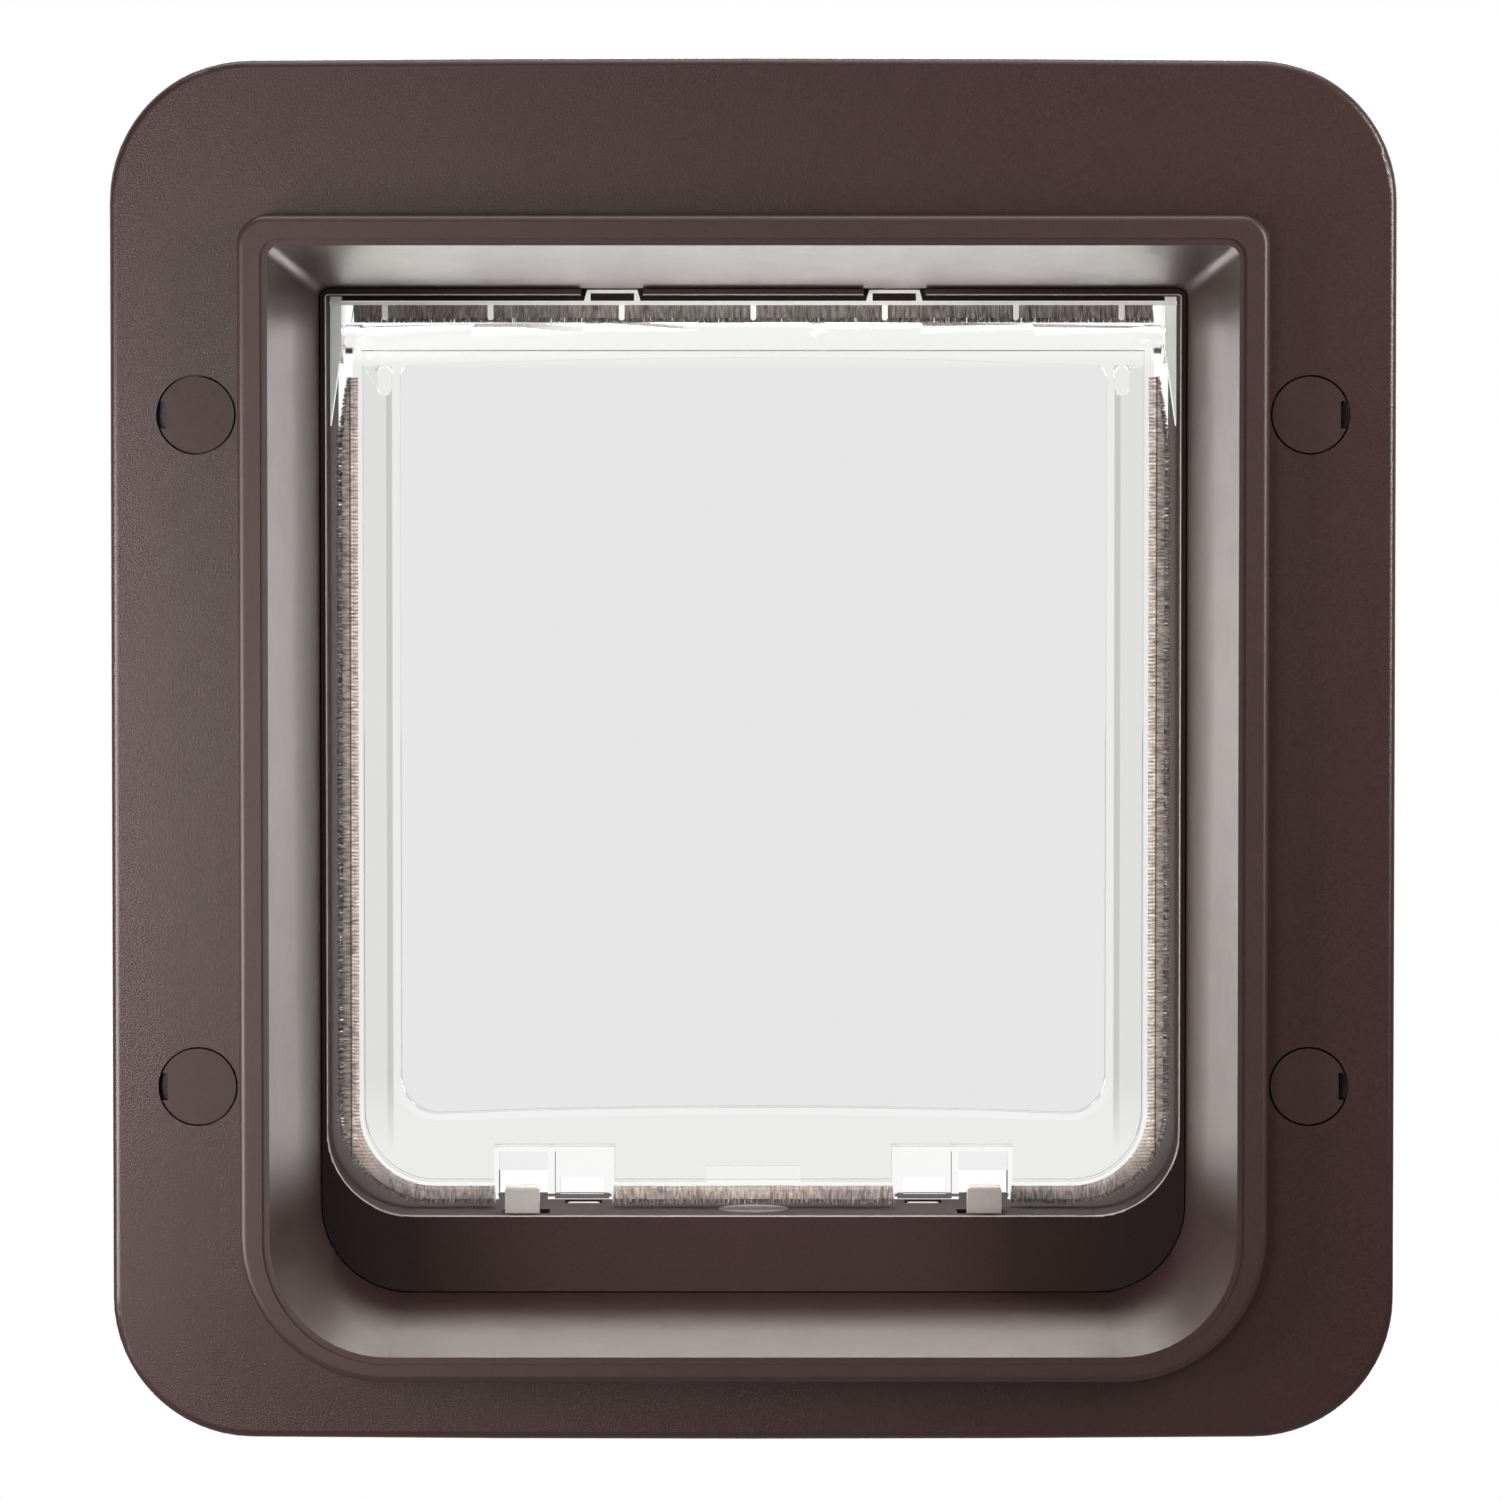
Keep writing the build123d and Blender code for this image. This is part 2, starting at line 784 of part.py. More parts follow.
# Top brush, in the carrier
with BuildPart() as top_brush:
    with BuildSketch(upright(hinge_y - top_pile_front)):
        span(
            top_pile_inset - flap_half,
            flap_half - top_pile_inset,
            carrier_under - top_pile_drop,
            carrier_under,
        )
    extrude(amount=-pile_thickness)
keep(top_brush.part, "top_brush")

# Flap
brush_top = hinge_z - brush_head
pocket_inner = inner_catch_place - loop_box_width / 2 - pocket_wall
pocket_outer = outer_catch_place + pocket_half + pocket_wall
pocket_top = flap_bottom + pocket_height
pocket_foot = flap_bottom - pocket_lip
beam_half = flap_half - rim_width / 2
with BuildPart() as flap:
    with BuildSketch(upright(hinge_y)):
        add(flap_outline())
    extrude(amount=band_thickness / 2, both=True)
    with BuildSketch(upright(hinge_y)):
        add(flap_outline())
        add(flap_outline(rim_width), mode=Mode.SUBTRACT)
    extrude(amount=rim_thickness / 2, both=True)
    with BuildSketch(upright(hinge_y)):
        add(window_outline(bead_width))
        add(window_outline(), mode=Mode.SUBTRACT)
    extrude(amount=bead_thickness / 2, both=True)
    # Web under the hinge beam, and the beam itself, bowed along its top and rounded above and below
    with BuildSketch(upright(hinge_y)):
        span(-beam_half, beam_half, window_top - window_bow, hinge_z)
        add(window_outline(), mode=Mode.SUBTRACT)
    extrude(amount=bead_thickness / 2, both=True)
    with BuildSketch(upright(hinge_y)):
        with BuildLine():
            Polyline(
                (-beam_half, hinge_z + beam_end_rise),
                (-beam_half, hinge_z - beam_drop),
                (beam_half, hinge_z - beam_drop),
                (beam_half, hinge_z + beam_end_rise),
            )
            ThreePointArc(
                (beam_half, hinge_z + beam_end_rise),
                (0, hinge_z + beam_rise),
                (-beam_half, hinge_z + beam_end_rise),
            )
        make_face()
    extrude(amount=beam_thickness / 2, both=True)
    fillet(flap.edges().group_by(Axis.Z)[-1], beam_round)
    beam_lines = flap.edges().filter_by(Axis.X).filter_by_position(
        Axis.Z, hinge_z - beam_drop - beam_low_round / 2, hinge_z - beam_drop + beam_low_round / 2
    )
    fillet(beam_lines.group_by(Axis.Y)[0] + beam_lines.group_by(Axis.Y)[-1], beam_low_round)
    # Thin window
    for face_side in (-1, 1):
        with BuildSketch(upright(hinge_y + face_side * window_thickness / 2)):
            add(window_outline())
        extrude(amount=-face_side * band_thickness, mode=Mode.SUBTRACT)
    # Pivots, corner bosses and lock pockets
    for _, side in SIDES:
        for radius, end in (
            (pivot_shoulder, arm_inside - stub_clearance),
            (pivot_radius, carrier_half - seat_gap),
        ):
            with BuildSketch(Plane.YZ.offset(side * (flap_half - rim_width))):
                with Locations((hinge_y, hinge_z)):
                    Circle(radius)
            extrude(amount=side * (end - flap_half + rim_width))
        with BuildSketch(upright(hinge_y)):
            boss_x = window_half + bead_width + corner_boss_width / 2
            with Locations((side * boss_x, hinge_z - corner_boss_drop)):
                SlotOverall(corner_boss_height, corner_boss_width, rotation=90)
            span(side * pocket_inner, side * pocket_outer, pocket_foot, pocket_top + pocket_wall)
        extrude(amount=rim_thickness / 2, both=True)
        with BuildSketch(upright(flap_front)):
            with Locations((side * outer_catch_place, 0)):
                span(-pocket_half, pocket_half, pocket_foot, outer_catch_top + pocket_clearance)
            with Locations((side * inner_catch_place, pocket_foot + pocket_wall)):
                Rectangle(loop_window_width, loop_window_height, align=(Align.CENTER, Align.MIN))
        extrude(amount=-rim_thickness, mode=Mode.SUBTRACT)
        with BuildSketch(upright(flap_front)):
            with Locations((side * outer_catch_place, 0)):
                span(-pocket_half, pocket_half, pocket_foot, pocket_top)
        extrude(amount=-rim_thickness / 2, mode=Mode.SUBTRACT)
        with BuildSketch(upright(flap_front + loop_front_wall)):
            with Locations((side * inner_catch_place, 0)):
                span(-loop_box_width / 2, loop_box_width / 2, pocket_foot, pocket_top)
        extrude(amount=loop_front_wall - rim_thickness, mode=Mode.SUBTRACT)
    # Finger pocket in the middle of the lower edge
    with BuildSketch(upright(hinge_y)):
        with Locations((0, flap_bottom)):
            Rectangle(
                finger_pocket_width,
                finger_pocket_height + 2 * finger_pocket_lift,
                align=(Align.CENTER, Align.MIN),
            )
    extrude(amount=rim_thickness / 2)
    with BuildSketch(upright(flap_front)):
        with Locations((0, flap_bottom + finger_pocket_lift)):
            Rectangle(
                finger_pocket_width - 2 * finger_pocket_lift,
                finger_pocket_height,
                align=(Align.CENTER, Align.MIN),
            )
    extrude(amount=-finger_pocket_depth, mode=Mode.SUBTRACT)
    # Groove for the pile strip, in the edge of the rim
    with BuildSketch(upright(hinge_y)):
        add(flap_outline())
        add(flap_outline(groove_depth), mode=Mode.SUBTRACT)
        span(-flap_half, flap_half, brush_top + groove_play, hinge_z, mode=Mode.SUBTRACT)
        for _, side in SIDES:
            span(side * pocket_inner, side * pocket_outer, pocket_foot, pocket_top, mode=Mode.SUBTRACT)
    extrude(amount=pile_thickness / 2 + groove_play, both=True, mode=Mode.SUBTRACT)
keep(flap.part, "flap")

# Brushes in the edge of the flap: one round each lower corner and one along the bottom
tip_half = passage_half - side_tip_gap
tip_bottom = sill_top + sill_tip_gap
brush_break_outer = pocket_outer + groove_play
brush_break_inner = pocket_inner - groove_play


def pile_outline(start, end):
    """The part of the pile strip between two places across."""
    with BuildSketch(mode=Mode.PRIVATE) as outline:
        add(opening(tip_half, hinge_z, tip_bottom, rim_edge, passage_low_corner - side_tip_gap))
        add(flap_outline(groove_depth - groove_play), mode=Mode.SUBTRACT)
        span(-tip_half, tip_half, brush_top, hinge_z, mode=Mode.SUBTRACT)
        for _, side in SIDES:
            with BuildLine():
                Polyline(
                    (side * (tip_half - brush_slant_width), brush_top),
                    (side * tip_half, brush_top),
                    (side * tip_half, brush_top - brush_slant_height),
                    close=True,
                )
            make_face(mode=Mode.SUBTRACT)
        span(start, end, tip_bottom, hinge_z, mode=Mode.INTERSECT)
    return outline.sketch


for brush_name, brush_start, brush_end in (
    ("left_brush", -tip_half, -brush_break_outer),
    ("bottom_brush", -brush_break_inner, brush_break_inner),
    ("right_brush", brush_break_outer, tip_half),
):
    with BuildPart() as brush:
        with BuildSketch(upright(hinge_y)):
            add(pile_outline(brush_start, brush_end))
        extrude(amount=pile_thickness / 2, both=True)
    keep(brush.part, brush_name)


# Lock catches
def lock_catch(place, front, depth, foot, top):
    with BuildPart() as catch:
        with BuildSketch(upright(front)):
            span(place - catch_width / 2, place + catch_width / 2, foot, top)
        extrude(amount=-depth)
        fillet(catch.faces().sort_by(Axis.Z)[-1].edges(), catch_round)
    return catch.part


for side_name, side in SIDES:
    keep(
        lock_catch(
            side * outer_catch_place,
            outer_catch_front,
            outer_catch_depth,
            outer_yoke_top,
            outer_catch_top,
        ),
        f"outer_catch_{side_name}",
    )
    keep(
        lock_catch(
            side * inner_catch_place,
            inner_catch_front,
            inner_catch_depth,
            inner_yoke_top,
            inner_catch_top,
        ),
        f"inner_catch_{side_name}",
    )

# Lock drive
flank = tan(radians(pressure_angle))
rack_root = pinion_addendum + mesh_clearance
pinion_root = pinion_radius - rack_addendum - mesh_clearance
base_radius = pinion_radius * cos(radians(pressure_angle))


def rack_tooth():
    """One straight-sided tooth, pointing along the sketch's first axis from the foot of the rack's teeth."""
    half = rack_pitch / 4 - backlash / 2
    half_root = half + rack_root * flank
    half_tip = half - rack_addendum * flank
    height = rack_root + rack_addendum
    with BuildSketch(mode=Mode.PRIVATE) as tooth:
        with BuildLine():
            Polyline((0, -half_root), (height, -half_tip), (height, half_tip), (0, half_root), close=True)
        make_face()
    return tooth.sketch


def involute_point(radius, hand):
    """Point of a pinion tooth's flank at a radius, on one hand of the tooth's middle line."""
    roll = sqrt(max((radius / base_radius) ** 2 - 1, 0))
    half = pi / (2 * pinion_teeth) + flank - radians(pressure_angle) - (roll - atan(roll))
    return (radius * cos(half), hand * radius * sin(half))


def pinion_tooth():
    steps = 4
    radii = [base_radius + (pinion_tip - base_radius) * step / steps for step in range(steps + 1)]
    foot_scale = (pinion_root - mesh_clearance) / base_radius
    base_x, base_y = involute_point(base_radius, 1)
    outline_up = [(foot_scale * base_x, foot_scale * base_y)] + [involute_point(r, 1) for r in radii]
    outline_down = [(x, -y) for x, y in reversed(outline_up)]
    with BuildSketch(mode=Mode.PRIVATE) as tooth:
        with BuildLine():
            Polyline(*outline_up, *outline_down, close=True)
        make_face()
    return tooth.sketch


def lock_yoke(reach, front, top, rack_x, rack_y):
    """Bar under one pair of catches, with an arm back to its rack."""
    with BuildPart() as yoke:
        with BuildSketch(upright(front)):
            span(-reach, reach, top - yoke_height, top)
        extrude(amount=-yoke_depth)
        with BuildSketch(Plane.XY.offset(top)):
            span(rack_x - rack_width / 2, rack_x + rack_width / 2, front, rack_y)
        extrude(amount=-yoke_height)
        with BuildSketch(Plane.YZ.offset(rack_x - rack_width / 2)):
            span(rack_y - rack_back, rack_y, pinion_z - rack_below, top)
            with Locations((rack_y, pinion_z - rack_pitch / 2)):
                with GridLocations(0, rack_pitch, 1, rack_teeth):
                    add(rack_tooth())
        extrude(amount=rack_width)
    return yoke.part


def lock_pinion(x, y, side):
    """Pinion with a tooth gap facing the rack, and the end of its shaft."""
    with BuildPart() as pinion:
        with BuildSketch(Plane.YZ.offset(x - rack_width / 2)):
            with Locations((y, pinion_z)):
                Circle(pinion_root)
                with PolarLocations(0, pinion_teeth, start_angle=180 / pinion_teeth):
                    add(pinion_tooth())
        extrude(amount=rack_width)
        with BuildSketch(Plane.YZ.offset(x)):
            with Locations((y, pinion_z)):
                Circle(shaft_radius)
        extrude(amount=side * (motor_gap + shaft_seat))
    return pinion.part


def gearmotor(x, y, side):
    with BuildPart() as motor:
        with BuildSketch(Plane.YZ.offset(x + side * motor_gap)):
            with Locations((y, pinion_z)):
                RectangleRounded(motor_width, motor_height, motor_corner)
        extrude(amount=side * motor_length)
        with BuildSketch(Plane.YZ.offset(x + side * motor_gap)):
            with Locations((y, pinion_z)):
                Circle(shaft_radius + shaft_fit)
        extrude(amount=side * (shaft_seat + seat_gap), mode=Mode.SUBTRACT)
    return motor.part


keep(
    lock_yoke(
        outer_catch_place + catch_width / 2 + yoke_overhang,
        outer_catch_front,
        outer_yoke_top,
        outer_rack_place,
        outer_rack_y,
    ),
    "outer_yoke",
)
keep(
    lock_yoke(
        inner_catch_place + catch_width / 2 + yoke_overhang,
        inner_catch_front,
        inner_yoke_top,
        inner_rack_place,
        inner_rack_y,
    ),
    "inner_yoke",
)
keep(lock_pinion(outer_rack_place, outer_pinion_y, 1), "outer_pinion")
keep(lock_pinion(inner_rack_place, inner_pinion_y, -1), "inner_pinion")
keep(gearmotor(outer_rack_place, outer_pinion_y, 1), "outer_motor")
keep(gearmotor(inner_rack_place, inner_pinion_y, -1), "inner_motor")

# Sensor window in the sill
with BuildPart() as sensor_window:
    with BuildSketch(Plane.XY.offset(sill_top - lens_recess)):
        with Locations((0, hinge_y - lens_place)):
            Circle(lens_radius)
    extrude(amount=lens_thickness)
keep(sensor_window.part, "sensor_window")

# Reader coil round the passage
with BuildPart() as reader_coil:
    with BuildSketch(upright(door_thickness + coil_place)):
        add(tube_outline(coil_gap + coil_thickness))
        add(tube_outline(coil_gap), mode=Mode.SUBTRACT)
    extrude(amount=-coil_width)
keep(reader_coil.part, "reader_coil")

# Cells and their contacts
with BuildPart() as battery_cells:
    for _, side in SIDES:
        for place in (cell_start, cell_start + cell_pitch):
            for radius, length in (
                (cell_radius, cell_length),
                (cell_nub_radius, cell_length + cell_nub_length),
            ):
                with BuildSketch(Plane.YZ.offset(side * place)):
                    with Locations((cell_y, cell_z)):
                        Circle(radius)
                extrude(amount=side * length)
keep(battery_cells.part, "battery_cells")

with BuildPart() as battery_contacts:
    for _, side in SIDES:
        for place in (contact_inner, contact_outer):
            with BuildSketch(Plane.YZ.offset(side * place)):
                with Locations((cell_y, cell_z)):
                    Rectangle(contact_width, contact_height)
            extrude(amount=side * contact_thickness)
keep(battery_contacts.part, "battery_contacts")

# Battery doors, flush in the cover, with finger grips
for side_name, side in SIDES:
    with BuildPart() as battery_door:
        with BuildSketch(upright(cover_inside)):
            with Locations((side * door_middle, door_z)):
                RectangleRounded(
                    door_width - 2 * door_play,
                    door_height - 2 * door_play,
                    door_corner - door_play,
                )
        extrude(amount=-housing_skin)
        with BuildSketch(upright(room_face)):
            with Locations((side * door_middle, door_z)):
                with GridLocations(grip_pitch, 0, grip_count, 1):
                    SlotOverall(door_height - 2 * door_corner, grip_width, rotation=90)
        extrude(amount=-grip_rise)
    keep(battery_door.part, f"battery_door_{side_name}")

# Circuit board with the switch under the learn button and the lamp under the status lens
board_front = board_y + board_thickness
with BuildPart() as circuit_board:
    with BuildSketch(upright(board_y)):
        with Locations((0, board_z)):
            Rectangle(board_width, board_height)
    extrude(amount=-board_thickness)
    with BuildSketch(upright(board_front)):
        with Locations((0, button_z)):
            Rectangle(switch_side, switch_side)
        with Locations((0, status_z)):
            Circle(status_radius)
    extrude(amount=-switch_height)
keep(circuit_board.part, "circuit_board")

# Learn button: cap, retaining flange and stem
switch_face = board_front + switch_height
button_back = cover_inside - seat_gap
with BuildPart() as learn_button:
    with BuildSketch(upright(room_face + button_proud)):
        with Locations((0, button_z)):
            Circle(button_radius)
    extrude(amount=room_face + button_proud - button_back)
    with BuildSketch(upright(button_back)):
        with Locations((0, button_z)):
            Circle(button_radius + button_flange)
    extrude(amount=button_flange_thickness)
    with BuildSketch(upright(button_back)):
        with Locations((0, button_z)):
            Circle(button_stem_radius)
    extrude(amount=button_back - switch_face - button_travel - seat_gap)
keep(learn_button.part, "learn_button")

# Status lens, a light guide from the lamp to the cover
with BuildPart() as status_lens:
    with BuildSketch(upright(room_face + status_proud)):
        with Locations((0, status_z)):
            Circle(status_radius)
    extrude(amount=room_face + status_proud - switch_face - seat_gap)
    with BuildSketch(upright(cover_inside)):
        with Locations((0, status_z)):
            Circle(status_radius + button_flange)
    extrude(amount=button_flange_thickness)
keep(status_lens.part, "status_lens")
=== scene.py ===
"""Looks of the cat flap: moulded plastics, clear flap, brush pile, studio light and camera."""

import math

import bmesh
import bpy
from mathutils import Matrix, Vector


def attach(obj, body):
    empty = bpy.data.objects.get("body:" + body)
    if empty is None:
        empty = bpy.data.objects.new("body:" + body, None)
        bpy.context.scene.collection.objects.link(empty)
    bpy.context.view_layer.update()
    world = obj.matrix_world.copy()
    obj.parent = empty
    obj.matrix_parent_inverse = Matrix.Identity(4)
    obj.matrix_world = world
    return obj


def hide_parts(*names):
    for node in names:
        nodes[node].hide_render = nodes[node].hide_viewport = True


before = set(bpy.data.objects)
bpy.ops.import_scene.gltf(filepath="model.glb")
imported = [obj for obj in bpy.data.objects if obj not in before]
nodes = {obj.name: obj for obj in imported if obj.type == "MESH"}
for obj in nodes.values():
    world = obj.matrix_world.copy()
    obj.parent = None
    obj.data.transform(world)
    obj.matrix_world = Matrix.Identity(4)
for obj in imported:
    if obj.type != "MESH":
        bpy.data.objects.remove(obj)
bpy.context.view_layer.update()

# Sizes shared with the solids, in metres
HINGE_Y = 0.047
HINGE_Z = 0.085
PILE_THICKNESS = 0.0024
PILE_INSET = 0.0003
PILE_ROOT_HALF = 0.08405
PILE_ROOT_LOW = -0.09535
PILE_CORNER = 0.01605
PILE_TOP = 0.0767
PILE_SLANT = 0.013
SIDE_PILE = 0.00485
SILL_PILE = 0.0042
SLANT_PILE = 0.00255
PILE_BREAK_OUTER = 0.05545
PILE_BREAK_INNER = 0.02945
TOP_PILE_Y = 0.043
TOP_PILE_Z = 0.0922
TOP_PILE_HALF = 0.0845
TOP_PILE = 0.0037
MOUTH_HALF = 0.09925
MOUTH_TOP = 0.1037
MOUTH_BOTTOM = -0.1242
MOUTH_CORNER = 0.024
BEZEL_FRONT = -0.013
SCREW_HALF = 0.1143
SCREW_RISE = 0.0691
WELL_RADIUS = 0.0082
SUNK = 0.0001
FLANGE_FRONT = -0.005
STUB_FRONT = 0.0293
REBATE = 0.0006
WINDOW_FACE = 0.0014
BAND_FACE = 0.0019
BEAM_FOOT = 0.0815
FLANK_IN = 0.0768
FLANK_OUT = 0.0781
WALL_HALF = 0.0885
LOWER_CORNER_FOOT = -0.088
LOWER_CORNER_TOP = -0.072
SIDE_PILE_START = 0.078
SIDE_PILE_FULL = 0.084
ROOT_EDGE = 0.0856
SEAM_OFFSET = 0.0002
SEAM_HALF = 0.00016
EDGE_MIDDLE = 0.00025
EDGE_HALF = 0.0002
SILL_CORNER_SPAN = (0.04, 0.09)
BEAM_BLEND = 0.003

# Scales of the textures, in repeats to the metre, and the pitch of the stitches
FLOW_SCALE = 22.0
GLOSS_SCALE = 140.0
GRAIN_SCALE = 2600.0
COARSE_GRAIN_SCALE = 1800.0
SPECK_SCALE = 1500.0
RIPPLE_SCALE = 60.0
FIBRE_SCALE = 1800.0
FIBRE_DRAW = 0.25
STITCH_PITCH = 0.00077

# Depths of the relief, in metres
FINE_RELIEF = 0.000012
COARSE_RELIEF = 0.00003
FLANGE_RELIEF = 0.00007

# Roughness, as lowest and highest
FLANGE_ROUGH = (0.27, 0.33)
BEZEL_ROUGH = (0.38, 0.44)
TUNNEL_ROUGH = (0.36, 0.42)
TUNNEL_FLOOR_SCUFF = 0.1
TUNNEL_BACK_SCUFF = 0.34
SCUFF_START = 0.006
SILL_ROUGH = (0.70, 0.80)
SILL_EDGE_ROUGH = (0.16, 0.22)
PASSAGE_ROUGH = 0.97
CLEAR_ROUGH = (0.01, 0.05)
WINDOW_ROUGH = 0.03
BEAM_ROUGH = 0.22
PILE_ROUGH = (0.55, 0.8)

# Shares by which parts of a finish are lighter or darker than its colour
# Painted shade: the sill face darkens towards its corners.
SILL_CORNER_PAINTED_SHADES = (0.95, 0.35)
# Painted shade: the passage walls behind the sill are darker.
PASSAGE_PAINTED_SHADE = 0.45
FIBRE_DARK = 0.35
FIBRE_LIGHT = 1.6
STITCH_SHADES = (1.3, 2.6)
# Painted light: the side pile is lighter than its colour.
PAINTED_SIDE_LIGHT = 1.3
SEAM_SHADE = 0.35
# Painted shade: the pile under the beam is darker.
PAINTED_TOP_SHADE = 0.58

# Colours
BROWN = (0.034, 0.0155, 0.0135, 1.0)
# Painted highlight: the light colour of the sill's rounded front edge.
PAINTED_EDGE_HIGHLIGHT = (0.34, 0.29, 0.27, 1.0)
# Painted shade: a near-black brown for the cap sides and the walls and floors of the screw-cap wells, where
# the deep gaps lie in shade.
PAINTED_WELL_SHADE = (0.0085, 0.003875, 0.003375, 1.0)
WHITE = (1.0, 1.0, 1.0, 1.0)


def add_node(tree, kind, **settings):
    """A new node with its properties set."""
    node = tree.nodes.new(kind)
    for name, value in settings.items():
        setattr(node, name, value)
    return node


def feed(tree, socket, value):
    """A socket takes a number or colour, or a link from another socket."""
    if isinstance(value, bpy.types.NodeSocket):
        tree.links.new(value, socket)
    else:
        socket.default_value = value


def maths(tree, operation, *values):
    """One Math node on numbers or sockets."""
    node = add_node(tree, "ShaderNodeMath", operation=operation)
    for socket, value in zip(node.inputs, values):
        feed(tree, socket, value)
    return node.outputs[0]


def noise(tree, place, scale, detail=3.0, roughness=0.55):
    """Noise on the piece's own coordinates."""
    node = add_node(tree, "ShaderNodeTexNoise")
    feed(tree, node.inputs["Vector"], place)
    feed(tree, node.inputs["Scale"], scale)
    feed(tree, node.inputs["Detail"], detail)
    feed(tree, node.inputs["Roughness"], roughness)
    return node.outputs["Fac"]


def spread(tree, value, low, high, start=0.0, end=1.0):
    """A value taken from the range start to end into low to high."""
    node = add_node(tree, "ShaderNodeMapRange")
    feed(tree, node.inputs["Value"], value)
    for name, limit in (("From Min", start), ("From Max", end), ("To Min", low), ("To Max", high)):
        feed(tree, node.inputs[name], limit)
    return node.outputs["Result"]


def blend_colour(tree, factor, first, second):
    """Two colours mixed by a factor."""
    node = add_node(tree, "ShaderNodeMix", data_type="RGBA")
    feed(tree, node.inputs["Factor"], factor)
    feed(tree, node.inputs["A"], first)
    feed(tree, node.inputs["B"], second)
    return node.outputs["Result"]


def blend_value(tree, factor, first, second):
    """Two numbers mixed by a factor."""
    node = add_node(tree, "ShaderNodeMix", data_type="FLOAT")
    feed(tree, node.inputs["Factor"], factor)
    feed(tree, node.inputs["A"], first)
    feed(tree, node.inputs["B"], second)
    return node.outputs["Result"]


def lighten(tree, colour, share):
    """A colour socket made lighter or darker by a number or socket."""
    node = add_node(tree, "ShaderNodeVectorMath", operation="SCALE")
    feed(tree, node.inputs[0], colour)
    feed(tree, node.inputs["Scale"], share)
    return node.outputs[0]


def shade(colour, share):
    """A colour made lighter or darker."""
    return (*(min(1.0, channel * share) for channel in colour[:3]), 1.0)


class Finish:
    """A material with its object coordinates, its shader and its output."""

    def __init__(self, name):
        self.material = bpy.data.materials.new(name)
        self.material.use_nodes = True
        self.tree = self.material.node_tree
        self.tree.nodes.clear()
        self.place = add_node(self.tree, "ShaderNodeTexCoord").outputs["Object"]
        self.shader = add_node(self.tree, "ShaderNodeBsdfPrincipled")
        self.output = add_node(self.tree, "ShaderNodeOutputMaterial")
        self.tree.links.new(self.shader.outputs["BSDF"], self.output.inputs["Surface"])

    def axes(self):
        """The three object coordinates."""
        split = add_node(self.tree, "ShaderNodeSeparateXYZ")
        feed(self.tree, split.inputs[0], self.place)
        return split.outputs

    def set(self, name, value):
        """One socket of the shader."""
        feed(self.tree, self.shader.inputs[name], value)

    def colour(self):
        """The socket that feeds the shader's colour."""
        return self.shader.inputs["Base Color"].links[0].from_socket

    def bump(self, height, strength, distance):
        """Relief in the surface normal."""
        node = add_node(self.tree, "ShaderNodeBump")
        feed(self.tree, node.inputs["Height"], height)
        feed(self.tree, node.inputs["Strength"], strength)
        feed(self.tree, node.inputs["Distance"], distance)
        self.set("Normal", node.outputs["Normal"])


def moulded(name, colour, roughness, grain=GRAIN_SCALE, depth=FINE_RELIEF, speck=0.14, specular=0.5):
    """Moulded plastic with a fine spark-eroded grain, faint flow marks and uneven gloss."""
    finish = Finish(name)
    tree = finish.tree
    flow = noise(tree, finish.place, FLOW_SCALE)
    clouds = blend_colour(tree, flow, shade(colour, 0.95), shade(colour, 1.05))
    dots = noise(tree, finish.place, SPECK_SCALE, 1.0)
    specks = spread(tree, dots, 1.0 - speck, 1.0 + speck, 0.3, 0.7)
    finish.set("Base Color", lighten(tree, clouds, specks))
    gloss = noise(tree, finish.place, GLOSS_SCALE)
    finish.set("Roughness", spread(tree, gloss, roughness - 0.04, roughness + 0.04))
    finish.set("Specular IOR Level", specular)
    finish.bump(noise(tree, finish.place, grain, 2.0), 0.6, depth)
    return finish


def tunnel_mask(finish):
    """One inside the flared tunnel, nought on the bezel and the flange."""
    tree = finish.tree
    x, y, z = finish.axes()
    out_x = maths(tree, "SUBTRACT", maths(tree, "ABSOLUTE", x), MOUTH_HALF - MOUTH_CORNER)
    out_z = maths(tree, "SUBTRACT", maths(tree, "MULTIPLY", z, -1.0), -MOUTH_BOTTOM - MOUTH_CORNER)
    square_x = maths(tree, "POWER", maths(tree, "MAXIMUM", out_x, 0.0), 2.0)
    square_z = maths(tree, "POWER", maths(tree, "MAXIMUM", out_z, 0.0), 2.0)
    reach = maths(tree, "SQRT", maths(tree, "ADD", square_x, square_z))
    inside = maths(tree, "LESS_THAN", reach, MOUTH_CORNER + REBATE / 2)
    below = maths(tree, "LESS_THAN", z, MOUTH_TOP + REBATE / 2)
    behind = maths(tree, "GREATER_THAN", y, BEZEL_FRONT + REBATE)
    return maths(tree, "MULTIPLY", maths(tree, "MULTIPLY", inside, below), behind)


def sunk_mask(finish):
    """One behind the front of the flange."""
    return maths(finish.tree, "GREATER_THAN", finish.axes()[1], FLANGE_FRONT + SUNK)


def well_mask(finish):
    """One on the walls and floors of the four wells that take the screw caps, where painted shade goes."""
    tree = finish.tree
    x, _, z = finish.axes()
    out_x = maths(tree, "SUBTRACT", maths(tree, "ABSOLUTE", x), SCREW_HALF)
    out_z = maths(tree, "SUBTRACT", maths(tree, "ABSOLUTE", z), SCREW_RISE)
    squares = maths(tree, "ADD", maths(tree, "POWER", out_x, 2.0), maths(tree, "POWER", out_z, 2.0))
    within = maths(tree, "LESS_THAN", maths(tree, "SQRT", squares), WELL_RADIUS + SUNK)
    return maths(tree, "MULTIPLY", within, sunk_mask(finish))


